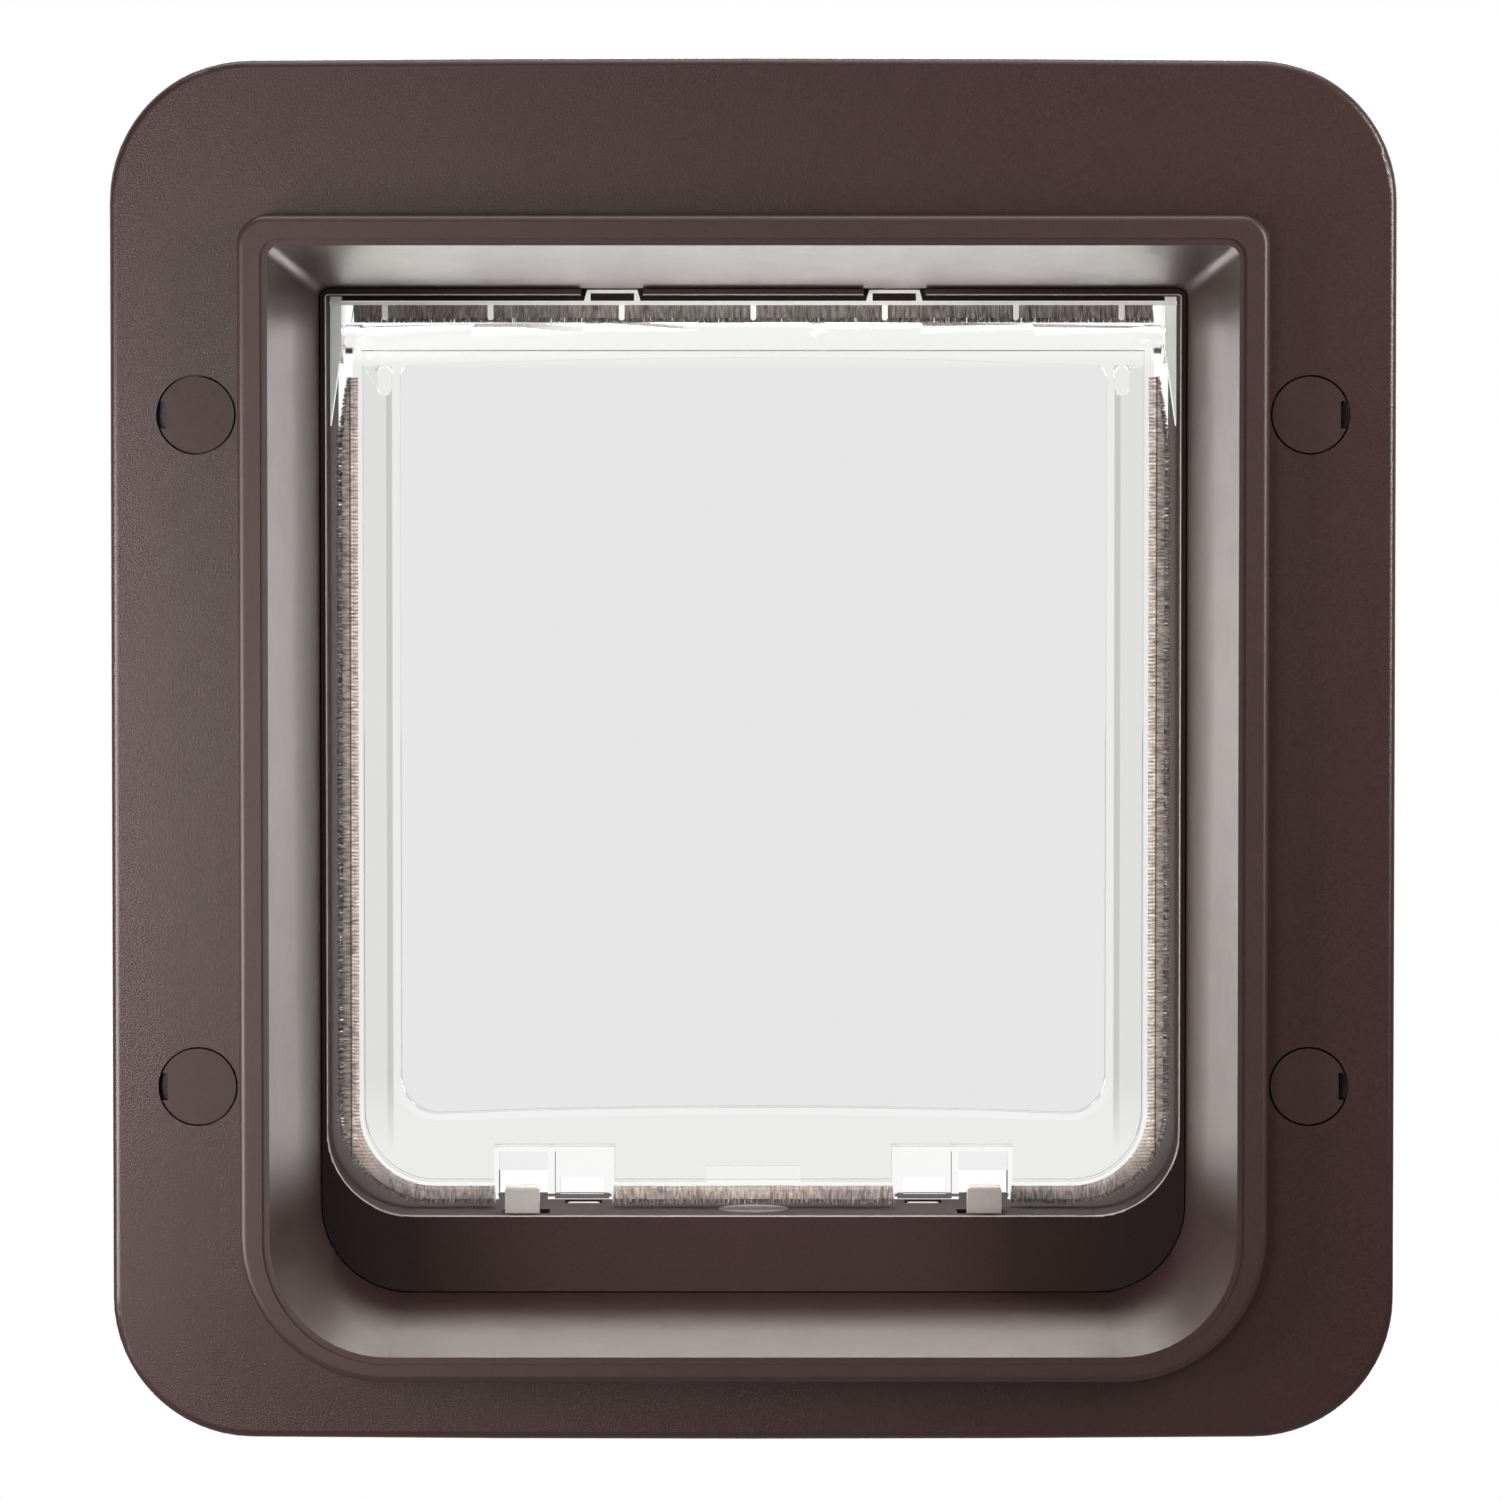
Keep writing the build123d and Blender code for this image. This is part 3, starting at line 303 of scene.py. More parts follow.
def frame_plastic(name, colour):
    """The outer frame: grained satin flange, plainer bezel, tunnel walls that dull to the back and below,
    painted shade in the screw-cap wells.
    """
    finish = moulded(name, colour, 0.5)
    tree = finish.tree
    x, y, z = finish.axes()
    tunnel = tunnel_mask(finish)
    proud = maths(tree, "LESS_THAN", y, FLANGE_FRONT - REBATE)
    smooth = maths(tree, "MAXIMUM", tunnel, proud)
    gloss = noise(tree, finish.place, GLOSS_SCALE)
    flange = spread(tree, gloss, *FLANGE_ROUGH)
    bezel = spread(tree, gloss, *BEZEL_ROUGH)
    satin = spread(tree, gloss, *TUNNEL_ROUGH)
    low = spread(tree, z, TUNNEL_FLOOR_SCUFF, 0.0, MOUTH_BOTTOM, 0.0)
    wall = maths(tree, "GREATER_THAN", maths(tree, "ABSOLUTE", x), WALL_HALF)
    back = spread(tree, y, 0.0, TUNNEL_BACK_SCUFF, SCUFF_START, STUB_FRONT)
    deep = maths(tree, "MULTIPLY", wall, back)
    scuffed = maths(tree, "ADD", satin, maths(tree, "MAXIMUM", low, deep))
    finish.set("Roughness", blend_value(tree, tunnel, blend_value(tree, proud, flange, bezel), scuffed))
    grain = noise(tree, finish.place, GRAIN_SCALE, 2.0)
    calm = maths(tree, "SUBTRACT", 1.0, maths(tree, "MULTIPLY", smooth, 0.8))
    finish.bump(maths(tree, "MULTIPLY", grain, calm), 0.8, FLANGE_RELIEF)
    mottled = finish.colour()
    # Painted shade on the walls and floors of the screw-cap wells.
    finish.set("Base Color", blend_colour(tree, well_mask(finish), mottled, PAINTED_WELL_SHADE))
    return finish


def cap_plastic(name, colour):
    """Screw caps: satin tops, sides down in the wells darkened with painted shade."""
    finish = moulded(name, colour, 0.40, specular=0.4)
    tree = finish.tree
    mottled = finish.colour()
    # Painted shade on the caps' sides, down in the wells.
    finish.set("Base Color", blend_colour(tree, sunk_mask(finish), mottled, PAINTED_WELL_SHADE))
    return finish


def housing_plastic(name, colour):
    """The inner housing: dull sill face, a painted highlight along its front edge, painted shade towards the
    sill's corners and on the passage walls behind it.
    """
    finish = moulded(name, colour, 0.45, specular=0.3)
    tree = finish.tree
    gloss = noise(tree, finish.place, GLOSS_SCALE)
    across, depth, _ = finish.axes()
    edge = maths(tree, "COMPARE", depth, STUB_FRONT + EDGE_MIDDLE, EDGE_HALF)
    behind = maths(tree, "GREATER_THAN", depth, STUB_FRONT + REBATE)
    front = blend_value(tree, edge, spread(tree, gloss, *SILL_ROUGH), spread(tree, gloss, *SILL_EDGE_ROUGH))
    finish.set("Roughness", blend_value(tree, behind, front, PASSAGE_ROUGH))
    mottled = finish.colour()
    # Painted shade: darker towards the sill's corners.
    corner = spread(tree, maths(tree, "ABSOLUTE", across), *SILL_CORNER_PAINTED_SHADES, *SILL_CORNER_SPAN)
    before = maths(tree, "LESS_THAN", depth, STUB_FRONT + 2 * REBATE)
    # Painted shade: the passage walls behind the sill are darker, joined with the darker sill corners.
    painted_shade = blend_value(tree, before, blend_value(tree, behind, 1.0, PASSAGE_PAINTED_SHADE), corner)
    # Painted highlight: the sill's rounded front edge takes a light colour.
    finish.set("Base Color", blend_colour(tree, edge, lighten(tree, mottled, painted_shade), PAINTED_EDGE_HIGHLIGHT))
    return finish


def clear_plastic(name, tint, clarity=1.0):
    """Clear moulding that lets lamps through, with faint ripples in its faces."""
    finish = Finish(name)
    tree = finish.tree
    finish.set("Transmission Weight", clarity)
    finish.set("IOR", 1.5)
    ripple = noise(tree, finish.place, RIPPLE_SCALE)
    finish.set("Roughness", spread(tree, ripple, *CLEAR_ROUGH))
    finish.set("Base Color", blend_colour(tree, ripple, shade(tint, 0.97), shade(tint, 1.02)))
    finish.bump(ripple, 0.08, 0.00005)
    rays = add_node(tree, "ShaderNodeLightPath")
    through = add_node(tree, "ShaderNodeBsdfTransparent")
    either = add_node(tree, "ShaderNodeMixShader")
    feed(tree, either.inputs[0], rays.outputs["Is Shadow Ray"])
    tree.links.new(finish.shader.outputs["BSDF"], either.inputs[1])
    tree.links.new(through.outputs["BSDF"], either.inputs[2])
    tree.links.new(either.outputs["Shader"], finish.output.inputs["Surface"])
    return finish


def flap_plastic(name, tints):
    """Clear flap: greyish thin window, milky band with painted shade on its outer sides, beads with painted
    dark lines along their flanks, frosted beam.
    """
    finish = clear_plastic(name, tints["band"])
    tree = finish.tree
    x, y, z = finish.axes()
    depth = maths(tree, "ABSOLUTE", maths(tree, "SUBTRACT", y, HINGE_Y))
    across = maths(tree, "ABSOLUTE", x)
    past_window = maths(tree, "GREATER_THAN", depth, WINDOW_FACE)
    past_band = maths(tree, "GREATER_THAN", depth, BAND_FACE)
    upright = spread(tree, z, 0.0, 1.0, LOWER_CORNER_FOOT, LOWER_CORNER_TOP)
    beside = maths(tree, "MULTIPLY", maths(tree, "GREATER_THAN", across, FLANK_IN), upright)
    flank = maths(tree, "MULTIPLY", beside, maths(tree, "LESS_THAN", across, FLANK_OUT))
    lofty = spread(tree, z, 0.0, 1.0, BEAM_FOOT - BEAM_BLEND, BEAM_FOOT)
    # Painted shade: greyer outer sides of the band and a darker line at each flank, where refraction would
    # show darker.
    strip = blend_colour(tree, beside, tints["band"], tints["side"])
    strip = blend_colour(tree, flank, strip, tints["flank"])
    flat = blend_colour(tree, past_window, tints["window"], strip)
    bead = blend_colour(tree, upright, tints["sill_bead"], tints["bead"])
    raised = blend_colour(tree, past_band, flat, bead)
    finish.set("Base Color", blend_colour(tree, lofty, raised, tints["beam"]))
    finish.set("Roughness", blend_value(tree, lofty, WINDOW_ROUGH, BEAM_ROUGH))
    return finish


def pile(name, colour):
    """Brush pile: drawn-out fibres, a stitched root down the sides, painted light on the side pile and
    painted shade under the beam.
    """
    finish = Finish(name)
    tree = finish.tree
    x, _, z = finish.axes()
    across = maths(tree, "ABSOLUTE", x)
    lofty = spread(tree, z, 0.0, 1.0, PILE_TOP, HINGE_Z)
    outer = spread(tree, across, 0.0, 1.0, SIDE_PILE_START, SIDE_PILE_FULL)
    beside = maths(tree, "MULTIPLY", outer, maths(tree, "SUBTRACT", 1.0, lofty))

    drawn = add_node(tree, "ShaderNodeCombineXYZ")
    feed(tree, drawn.inputs["X"], blend_value(tree, beside, 1.0, FIBRE_DRAW))
    feed(tree, drawn.inputs["Y"], 1.0)
    feed(tree, drawn.inputs["Z"], blend_value(tree, beside, FIBRE_DRAW, 1.0))
    stretched = add_node(tree, "ShaderNodeVectorMath", operation="MULTIPLY")
    feed(tree, stretched.inputs[0], finish.place)
    feed(tree, stretched.inputs[1], drawn.outputs[0])
    fibre = spread(tree, noise(tree, stretched.outputs[0], FIBRE_SCALE, 2.0), 0.0, 1.0, 0.3, 0.7)
    mixed = blend_colour(tree, fibre, shade(colour, FIBRE_DARK), shade(colour, FIBRE_LIGHT))

    stitch = maths(tree, "SINE", maths(tree, "MULTIPLY", z, math.tau / STITCH_PITCH))
    stitched = spread(tree, stitch, *STITCH_SHADES, -1.0, 1.0)
    root = spread(tree, across, 1.0, 0.0, ROOT_EDGE - SEAM_OFFSET, ROOT_EDGE)
    seam = maths(tree, "COMPARE", across, ROOT_EDGE + SEAM_OFFSET, SEAM_HALF)
    # Painted light: the side pile is lightened, apart from its stitched root and seam.
    side = blend_value(tree, seam, blend_value(tree, root, PAINTED_SIDE_LIGHT, stitched), SEAM_SHADE)
    zone = blend_value(tree, beside, 1.0, side)
    # Painted shade: darker towards the top, under the beam.
    finish.set("Base Color", lighten(tree, mixed, blend_value(tree, lofty, zone, PAINTED_TOP_SHADE)))
    finish.set("Roughness", spread(tree, fibre, *PILE_ROUGH))
    finish.set("Sheen Weight", 0.3)
    finish.bump(fibre, 0.5, 0.0001)
    return finish


def plated(name, colour, roughness):
    """Plated metal with fine turning marks."""
    finish = Finish(name)
    tree = finish.tree
    marks = noise(tree, finish.place, 900.0)
    finish.set("Base Color", blend_colour(tree, marks, shade(colour, 0.85), colour))
    finish.set("Metallic", 1.0)
    finish.set("Roughness", spread(tree, marks, roughness - 0.07, roughness + 0.07))
    finish.bump(marks, 0.3, 0.00002)
    return finish


def winding(name, colour):
    """Enamelled copper wire, laid side by side round the passage, with painted shade between the turns."""
    finish = Finish(name)
    tree = finish.tree
    turns = add_node(tree, "ShaderNodeTexWave", bands_direction="Y")
    feed(tree, turns.inputs["Vector"], finish.place)
    feed(tree, turns.inputs["Scale"], 500.0)
    # Painted shade: darker bands between the turns of wire.
    finish.set("Base Color", blend_colour(tree, turns.outputs["Fac"], shade(colour, 0.35), colour))
    finish.set("Metallic", 0.8)
    finish.set("Roughness", spread(tree, noise(tree, finish.place, 300.0), 0.3, 0.42))
    finish.bump(turns.outputs["Fac"], 0.7, 0.0002)
    return finish


def cell_sleeve(name, sleeve, steel, end_place, end_band):
    """Shrink sleeve over a steel can: bare steel shows at both ends."""
    finish = Finish(name)
    tree = finish.tree
    x = finish.axes()[0]
    away = maths(tree, "ABSOLUTE", maths(tree, "SUBTRACT", maths(tree, "ABSOLUTE", x), end_place))
    bare = maths(tree, "GREATER_THAN", away, end_band)
    wrinkle = noise(tree, finish.place, 120.0)
    body = blend_colour(tree, wrinkle, shade(sleeve, 0.85), shade(sleeve, 1.15))
    finish.set("Base Color", blend_colour(tree, bare, body, steel))
    finish.set("Metallic", bare)
    finish.set("Roughness", spread(tree, wrinkle, 0.25, 0.38))
    finish.bump(wrinkle, 0.2, 0.0001)
    return finish


def board_finish(name, mask, copper):
    """Solder mask over copper tracks."""
    finish = Finish(name)
    tree = finish.tree
    tracks = add_node(tree, "ShaderNodeTexBrick")
    feed(tree, tracks.inputs["Vector"], finish.place)
    feed(tree, tracks.inputs["Scale"], 420.0)
    feed(tree, tracks.inputs["Color1"], shade(mask, 0.9))
    feed(tree, tracks.inputs["Color2"], shade(mask, 1.1))
    feed(tree, tracks.inputs["Mortar"], copper)
    feed(tree, tracks.inputs["Mortar Size"], 0.03)
    finish.set("Base Color", tracks.outputs["Color"])
    finish.set("Roughness", spread(tree, noise(tree, finish.place, 200.0), 0.3, 0.4))
    finish.bump(tracks.outputs["Fac"], 0.3, 0.00004)
    return finish


finishes = {
    "outer_frame": frame_plastic("brown_frame_satin", BROWN),
    "inner_housing": housing_plastic("brown_housing_satin", BROWN),
    "inner_cover": moulded("brown_cover_grain", BROWN, 0.42, COARSE_GRAIN_SCALE, COARSE_RELIEF),
    "flap": flap_plastic(
        "clear_flap",
        {
            "window": (0.83, 0.83, 0.83, 1.0),
            "band": (0.87, 0.87, 0.86, 1.0),
            # Painted shade: the greyer band sides and the darker flank lines.
            "side": (0.77, 0.77, 0.75, 1.0),
            "flank": (0.60, 0.59, 0.58, 1.0),
            "bead": (0.86, 0.865, 0.855, 1.0),
            "sill_bead": (0.97, 0.97, 0.965, 1.0),
            "beam": (0.88, 0.885, 0.87, 1.0),
        },
    ),
    "hinge_carrier": clear_plastic("clear_carrier", (0.92, 0.925, 0.915, 1.0), 0.3),
    "sensor_window": moulded(
        "smoked_lens",
        (0.075, 0.058, 0.052, 1.0),
        0.4,
        depth=0.000004,
        speck=0.03,
        specular=0.2,
    ),
    "circuit_board": board_finish("board_mask", (0.012, 0.07, 0.03, 1.0), (0.03, 0.13, 0.05, 1.0)),
    "reader_coil": winding("copper_winding", (0.62, 0.27, 0.12, 1.0)),
    "battery_cells": cell_sleeve(
        "cell_sleeve",
        sleeve=(0.03, 0.035, 0.04, 1.0),
        steel=(0.62, 0.62, 0.60, 1.0),
        end_place=0.0745,
        end_band=0.0205,
    ),
    "battery_contacts": plated("sprung_nickel", (0.66, 0.64, 0.60, 1.0), 0.3),
    "learn_button": moulded("grey_button", (0.32, 0.31, 0.30, 1.0), 0.42, speck=0.05),
}
cap_finish = cap_plastic("brown_cap_satin", shade(BROWN, 0.95))
door_finish = moulded("brown_door_grain", BROWN, 0.42, COARSE_GRAIN_SCALE, COARSE_RELIEF)
catch_finish = moulded("grey_catch", (0.42, 0.39, 0.37, 1.0), 0.36, speck=0.03)
drive_finish = moulded("white_drive", (0.74, 0.73, 0.69, 1.0), 0.38, speck=0.02)
steel_finish = plated("zinc_screw", (0.62, 0.61, 0.58, 1.0), 0.32)
can_finish = plated("motor_can", (0.50, 0.50, 0.51, 1.0), 0.28)
lens_finish = moulded("status_lens", (0.38, 0.03, 0.02, 1.0), 0.12, depth=0.000002, speck=0.02)
shared = (
    (cap_finish, [name for name in nodes if name.startswith("screw_cap_")]),
    (door_finish, ["battery_door_left", "battery_door_right"]),
    (catch_finish, [name for name in nodes if "_catch_" in name]),
    (drive_finish, ["outer_yoke", "inner_yoke", "outer_pinion", "inner_pinion"]),
    (steel_finish, ["fixing_screws", "case_screws"]),
    (can_finish, ["outer_motor", "inner_motor"]),
    (lens_finish, ["status_lens"]),
)
for finish, names in shared:
    for name in names:
        finishes[name] = finish
pile_finish = pile("taupe_pile", (0.305, 0.262, 0.243, 1.0))
for name in ("left_brush", "bottom_brush", "right_brush", "top_brush"):
    finishes[name] = pile_finish
for name, finish in finishes.items():
    for slot in nodes[name].material_slots:
        slot.material = finish.material

MERGE_REACH = 0.000001
BOW_RADIUS = 2.9
SIDE_FACE = 0.02
BEAM_PITCH = 0.004
BEAM_CUTS = 20
FLAT_ANGLE = math.radians(0.05)
SHARP_ANGLE = math.radians(35.0)
FLAP_ROUNDING = 0.0003
CARRIER_ROUNDING = 0.0002


def plain_mesh(holder):
    """The evaluated mesh of an object, with its modifiers worked in."""
    view = bpy.context.evaluated_depsgraph_get()
    return bpy.data.meshes.new_from_object(holder.evaluated_get(view))


def dressed(node, body, width):
    """A copy of a solid with its edges rounded and its beam's normals smoothed, which stands for the node."""
    mesh = nodes[node].data.copy()
    bm = bmesh.new()
    bm.from_mesh(mesh)
    bmesh.ops.remove_doubles(bm, verts=bm.verts, dist=MERGE_REACH)
    bmesh.ops.dissolve_limit(bm, angle_limit=FLAT_ANGLE, verts=bm.verts, edges=bm.edges)
    for step in range(-BEAM_CUTS, BEAM_CUTS + 1):
        beam = [face for face in bm.faces if face.calc_center_median().z > BEAM_FOOT]
        parts = set(beam)
        for face in beam:
            parts.update(face.edges)
            parts.update(face.verts)
        place = (step * BEAM_PITCH, 0.0, 0.0)
        bmesh.ops.bisect_plane(bm, geom=list(parts), plane_co=place, plane_no=(1.0, 0.0, 0.0))
    sharp = [edge for edge in bm.edges if edge.is_manifold and edge.calc_face_angle() > SHARP_ANGLE]
    bmesh.ops.bevel(bm, geom=sharp, offset=width, segments=2, profile=0.5, affect="EDGES", clamp_overlap=True)
    bmesh.ops.triangulate(bm, faces=[face for face in bm.faces if len(face.verts) > 4])
    for face in bm.faces:
        face.smooth = True
    for edge in bm.edges:
        edge.smooth = True
    bm.to_mesh(mesh)
    bm.free()
    holder = bpy.data.objects.new(node + "_edges", mesh)
    bpy.context.scene.collection.objects.link(holder)
    weighted = holder.modifiers.new("weighted", "WEIGHTED_NORMAL")
    weighted.weight = 100
    rounded = plain_mesh(holder)
    bpy.data.objects.remove(holder)
    bowed = []
    for corner, normal in zip(rounded.loops, rounded.corner_normals):
        x, _, z = rounded.vertices[corner.vertex_index].co
        lie = Vector(normal.vector)
        if z > BEAM_FOOT and lie.z > SIDE_FACE:
            lie.x = lie.z * x / BOW_RADIUS
        bowed.append(lie.normalized())
    rounded.normals_split_custom_set(bowed)
    piece = bpy.data.objects.new("rounded_" + node, rounded)
    bpy.context.scene.collection.objects.link(piece)
    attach(piece, body)
    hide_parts(node)
    return piece


dressed("flap", "flap", FLAP_ROUNDING)
dressed("hinge_carrier", "door_unit", CARRIER_ROUNDING)


def pile_tree():
    """Geometry nodes: tapered bristles in rows along a path, standing out from it."""
    tree = bpy.data.node_groups.new("pile_rows", "GeometryNodeTree")
    for name, kind in (
        ("Path", "NodeSocketGeometry"),
        ("Spacing", "NodeSocketFloat"),
        ("Rows", "NodeSocketInt"),
        ("Thickness", "NodeSocketFloat"),
        ("Bristle Radius", "NodeSocketFloat"),
        ("Splay", "NodeSocketFloat"),
        ("Shortest", "NodeSocketFloat"),
        ("Seed", "NodeSocketInt"),
        ("Material", "NodeSocketMaterial"),
    ):
        tree.interface.new_socket(name, in_out="INPUT", socket_type=kind)
    tree.interface.new_socket("Pile", in_out="OUTPUT", socket_type="NodeSocketGeometry")
    given = add_node(tree, "NodeGroupInput").outputs
    result = add_node(tree, "NodeGroupOutput")
    length = add_node(tree, "GeometryNodeInputNamedAttribute", data_type="FLOAT")
    length.inputs["Name"].default_value = "pile_length"

    curve = add_node(tree, "GeometryNodeMeshToCurve")
    feed(tree, curve.inputs["Mesh"], given["Path"])
    points = add_node(tree, "GeometryNodeCurveToPoints", mode="LENGTH")
    feed(tree, points.inputs["Curve"], curve.outputs["Curve"])
    feed(tree, points.inputs["Length"], given["Spacing"])
    rows = add_node(tree, "GeometryNodeDuplicateElements", domain="POINT")
    feed(tree, rows.inputs["Geometry"], points.outputs["Points"])
    feed(tree, rows.inputs["Amount"], given["Rows"])

    def chance(low, high, offset):
        """A random vector between two corners."""
        node = add_node(tree, "FunctionNodeRandomValue", data_type="FLOAT_VECTOR")
        feed(tree, node.inputs["Min"], low)
        feed(tree, node.inputs["Max"], high)
        seed = add_node(tree, "ShaderNodeMath", operation="ADD")
        feed(tree, seed.inputs[0], given["Seed"])
        feed(tree, seed.inputs[1], offset)
        feed(tree, node.inputs["Seed"], seed.outputs[0])
        return node.outputs["Value"]

    half = add_node(tree, "ShaderNodeMath", operation="MULTIPLY")
    feed(tree, half.inputs[0], given["Thickness"])
    feed(tree, half.inputs[1], 0.5)
    side = add_node(tree, "ShaderNodeVectorMath", operation="SCALE")
    feed(tree, side.inputs[0], chance((0.0, -1.0, 0.0), (0.0, 1.0, 0.0), 1.0))
    feed(tree, side.inputs["Scale"], half.outputs[0])
    along = add_node(tree, "ShaderNodeVectorMath", operation="SCALE")
    feed(tree, along.inputs[0], points.outputs["Tangent"])
    feed(tree, along.inputs["Scale"], given["Spacing"])
    drift = add_node(tree, "ShaderNodeVectorMath", operation="MULTIPLY")
    feed(tree, drift.inputs[0], along.outputs[0])
    feed(tree, drift.inputs[1], chance((-0.5, -0.5, -0.5), (0.5, 0.5, 0.5), 2.0))
    offset = add_node(tree, "ShaderNodeVectorMath", operation="ADD")
    feed(tree, offset.inputs[0], side.outputs[0])
    feed(tree, offset.inputs[1], drift.outputs[0])
    moved = add_node(tree, "GeometryNodeSetPosition")
    feed(tree, moved.inputs["Geometry"], rows.outputs["Geometry"])
    feed(tree, moved.inputs["Offset"], offset.outputs[0])

    outward = add_node(tree, "ShaderNodeVectorMath", operation="CROSS_PRODUCT")
    feed(tree, outward.inputs[0], (0.0, 1.0, 0.0))
    feed(tree, outward.inputs[1], points.outputs["Tangent"])
    lean = add_node(tree, "ShaderNodeVectorMath", operation="SCALE")
    feed(tree, lean.inputs[0], chance((-1.0, -1.0, -1.0), (1.0, 1.0, 1.0), 3.0))
    feed(tree, lean.inputs["Scale"], given["Splay"])
    heading = add_node(tree, "ShaderNodeVectorMath", operation="ADD")
    feed(tree, heading.inputs[0], outward.outputs[0])
    feed(tree, heading.inputs[1], lean.outputs[0])
    turn = add_node(tree, "FunctionNodeAlignRotationToVector", axis="Z")
    feed(tree, turn.inputs["Vector"], heading.outputs[0])

    bristle = add_node(tree, "GeometryNodeMeshCone", fill_type="NGON")
    feed(tree, bristle.inputs["Vertices"], 4)
    feed(tree, bristle.inputs["Depth"], 1.0)
    feed(tree, bristle.inputs["Radius Bottom"], given["Bristle Radius"])
    tip = add_node(tree, "ShaderNodeMath", operation="MULTIPLY")
    feed(tree, tip.inputs[0], given["Bristle Radius"])
    feed(tree, tip.inputs[1], 0.6)
    feed(tree, bristle.inputs["Radius Top"], tip.outputs[0])

    reach = add_node(tree, "FunctionNodeRandomValue", data_type="FLOAT")
    feed(tree, reach.inputs[2], given["Shortest"])
    feed(tree, reach.inputs[3], 1.0)
    feed(tree, reach.inputs["Seed"], given["Seed"])
    tall = add_node(tree, "ShaderNodeMath", operation="MULTIPLY")
    feed(tree, tall.inputs[0], reach.outputs[1])
    feed(tree, tall.inputs[1], length.outputs["Attribute"])
    scale = add_node(tree, "ShaderNodeCombineXYZ")
    feed(tree, scale.inputs["X"], 1.0)
    feed(tree, scale.inputs["Y"], 1.0)
    feed(tree, scale.inputs["Z"], tall.outputs[0])

    planted = add_node(tree, "GeometryNodeInstanceOnPoints")
    feed(tree, planted.inputs["Points"], moved.outputs["Geometry"])
    feed(tree, planted.inputs["Instance"], bristle.outputs["Mesh"])
    feed(tree, planted.inputs["Rotation"], turn.outputs["Rotation"])
    feed(tree, planted.inputs["Scale"], scale.outputs[0])
    whole = add_node(tree, "GeometryNodeRealizeInstances")
    feed(tree, whole.inputs["Geometry"], planted.outputs["Instances"])
    coated = add_node(tree, "GeometryNodeSetMaterial")
    feed(tree, coated.inputs["Geometry"], whole.outputs["Geometry"])
    feed(tree, coated.inputs["Material"], given["Material"])
    feed(tree, result.inputs["Pile"], coated.outputs["Geometry"])
    return tree


PILE_ROWS = pile_tree()
CORE_SHARE = 0.7
CORE_THICKNESS = 0.0019


def pile_core(bm, path, y):
    """The dense foot of the pile, a solid strip along the path."""
    low, high = y - CORE_THICKNESS / 2, y + CORE_THICKNESS / 2
    sections = []
    for index, (x, z, length) in enumerate(path):
        before = path[max(index - 1, 0)]
        after = path[min(index + 1, len(path) - 1)]
        along = Vector((after[0] - before[0], 0.0, after[1] - before[1])).normalized()
        out = Vector((0.0, 1.0, 0.0)).cross(along) * length * CORE_SHARE
        corners = (
            (x, low, z),
            (x + out.x, low, z + out.z),
            (x + out.x, high, z + out.z),
            (x, high, z),
        )
        sections.append([bm.verts.new(corner) for corner in corners])
    for first, second in zip(sections, sections[1:]):
        for corner in range(4):
            following = (corner + 1) % 4
            bm.faces.new((first[corner], first[following], second[following], second[corner]))
    bm.faces.new(sections[0])
    bm.faces.new(sections[-1])


def pile_strip(name, path, y, body, node, seed, shortest):
    """Bristles and their foot along one path, as a plain mesh that stands for the node."""
    mesh = bpy.data.meshes.new(name + "_path")
    mesh.from_pydata(
        [(x, y, z) for x, z, _ in path],
        [(index, index + 1) for index in range(len(path) - 1)],
        [],
    )
    lengths = mesh.attributes.new("pile_length", "FLOAT", "POINT")
    for item, (_, _, length) in zip(lengths.data, path):
        item.value = length
    source = bpy.data.objects.new(name + "_path", mesh)
    bpy.context.scene.collection.objects.link(source)
    modifier = source.modifiers.new("rows", "NODES")
    modifier.node_group = PILE_ROWS
    sizes = {
        "Spacing": 0.0004,
        "Rows": 8,
        "Thickness": PILE_THICKNESS - PILE_INSET,
        "Bristle Radius": 0.00013,
        "Splay": 0.16,
        "Shortest": shortest,
        "Seed": seed,
        "Material": pile_finish.material,
    }
    for item in PILE_ROWS.interface.items_tree:
        if item.name in sizes:
            modifier[item.identifier] = sizes[item.name]
    bristles = plain_mesh(source)
    bpy.data.objects.remove(source)

    bm = bmesh.new()
    pile_core(bm, path, y)
    bmesh.ops.recalc_face_normals(bm, faces=bm.faces)
    bm.from_mesh(bristles)
    for face in bm.faces:
        face.material_index = 0
    bm.to_mesh(bristles)
    bm.free()
    bristles.materials.clear()
    bristles.materials.append(pile_finish.material)
    piece = bpy.data.objects.new(name, bristles)
    bpy.context.scene.collection.objects.link(piece)
    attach(piece, body)
    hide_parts(node)
    return piece


def side_path(side):
    """One side of the flap with its lower corner: downwards on the left, upwards on the right."""
    corner_x = PILE_ROOT_HALF - PILE_CORNER
    corner_z = PILE_ROOT_LOW + PILE_CORNER
    path = [
        (PILE_ROOT_HALF, PILE_TOP, SLANT_PILE),
        (PILE_ROOT_HALF, PILE_TOP - PILE_SLANT, SIDE_PILE),
    ]
    steps = 12
    for step in range(steps + 1):
        share = step / steps
        angle = share * math.pi / 2
        path.append(
            (
                corner_x + PILE_CORNER * math.cos(angle),
                corner_z - PILE_CORNER * math.sin(angle),
                SIDE_PILE + (SILL_PILE - SIDE_PILE) * share,
            )
        )
    path.append((PILE_BREAK_OUTER, PILE_ROOT_LOW, SILL_PILE))
    path = [(side * x, z, length) for x, z, length in path]
    return path if side < 0 else path[::-1]


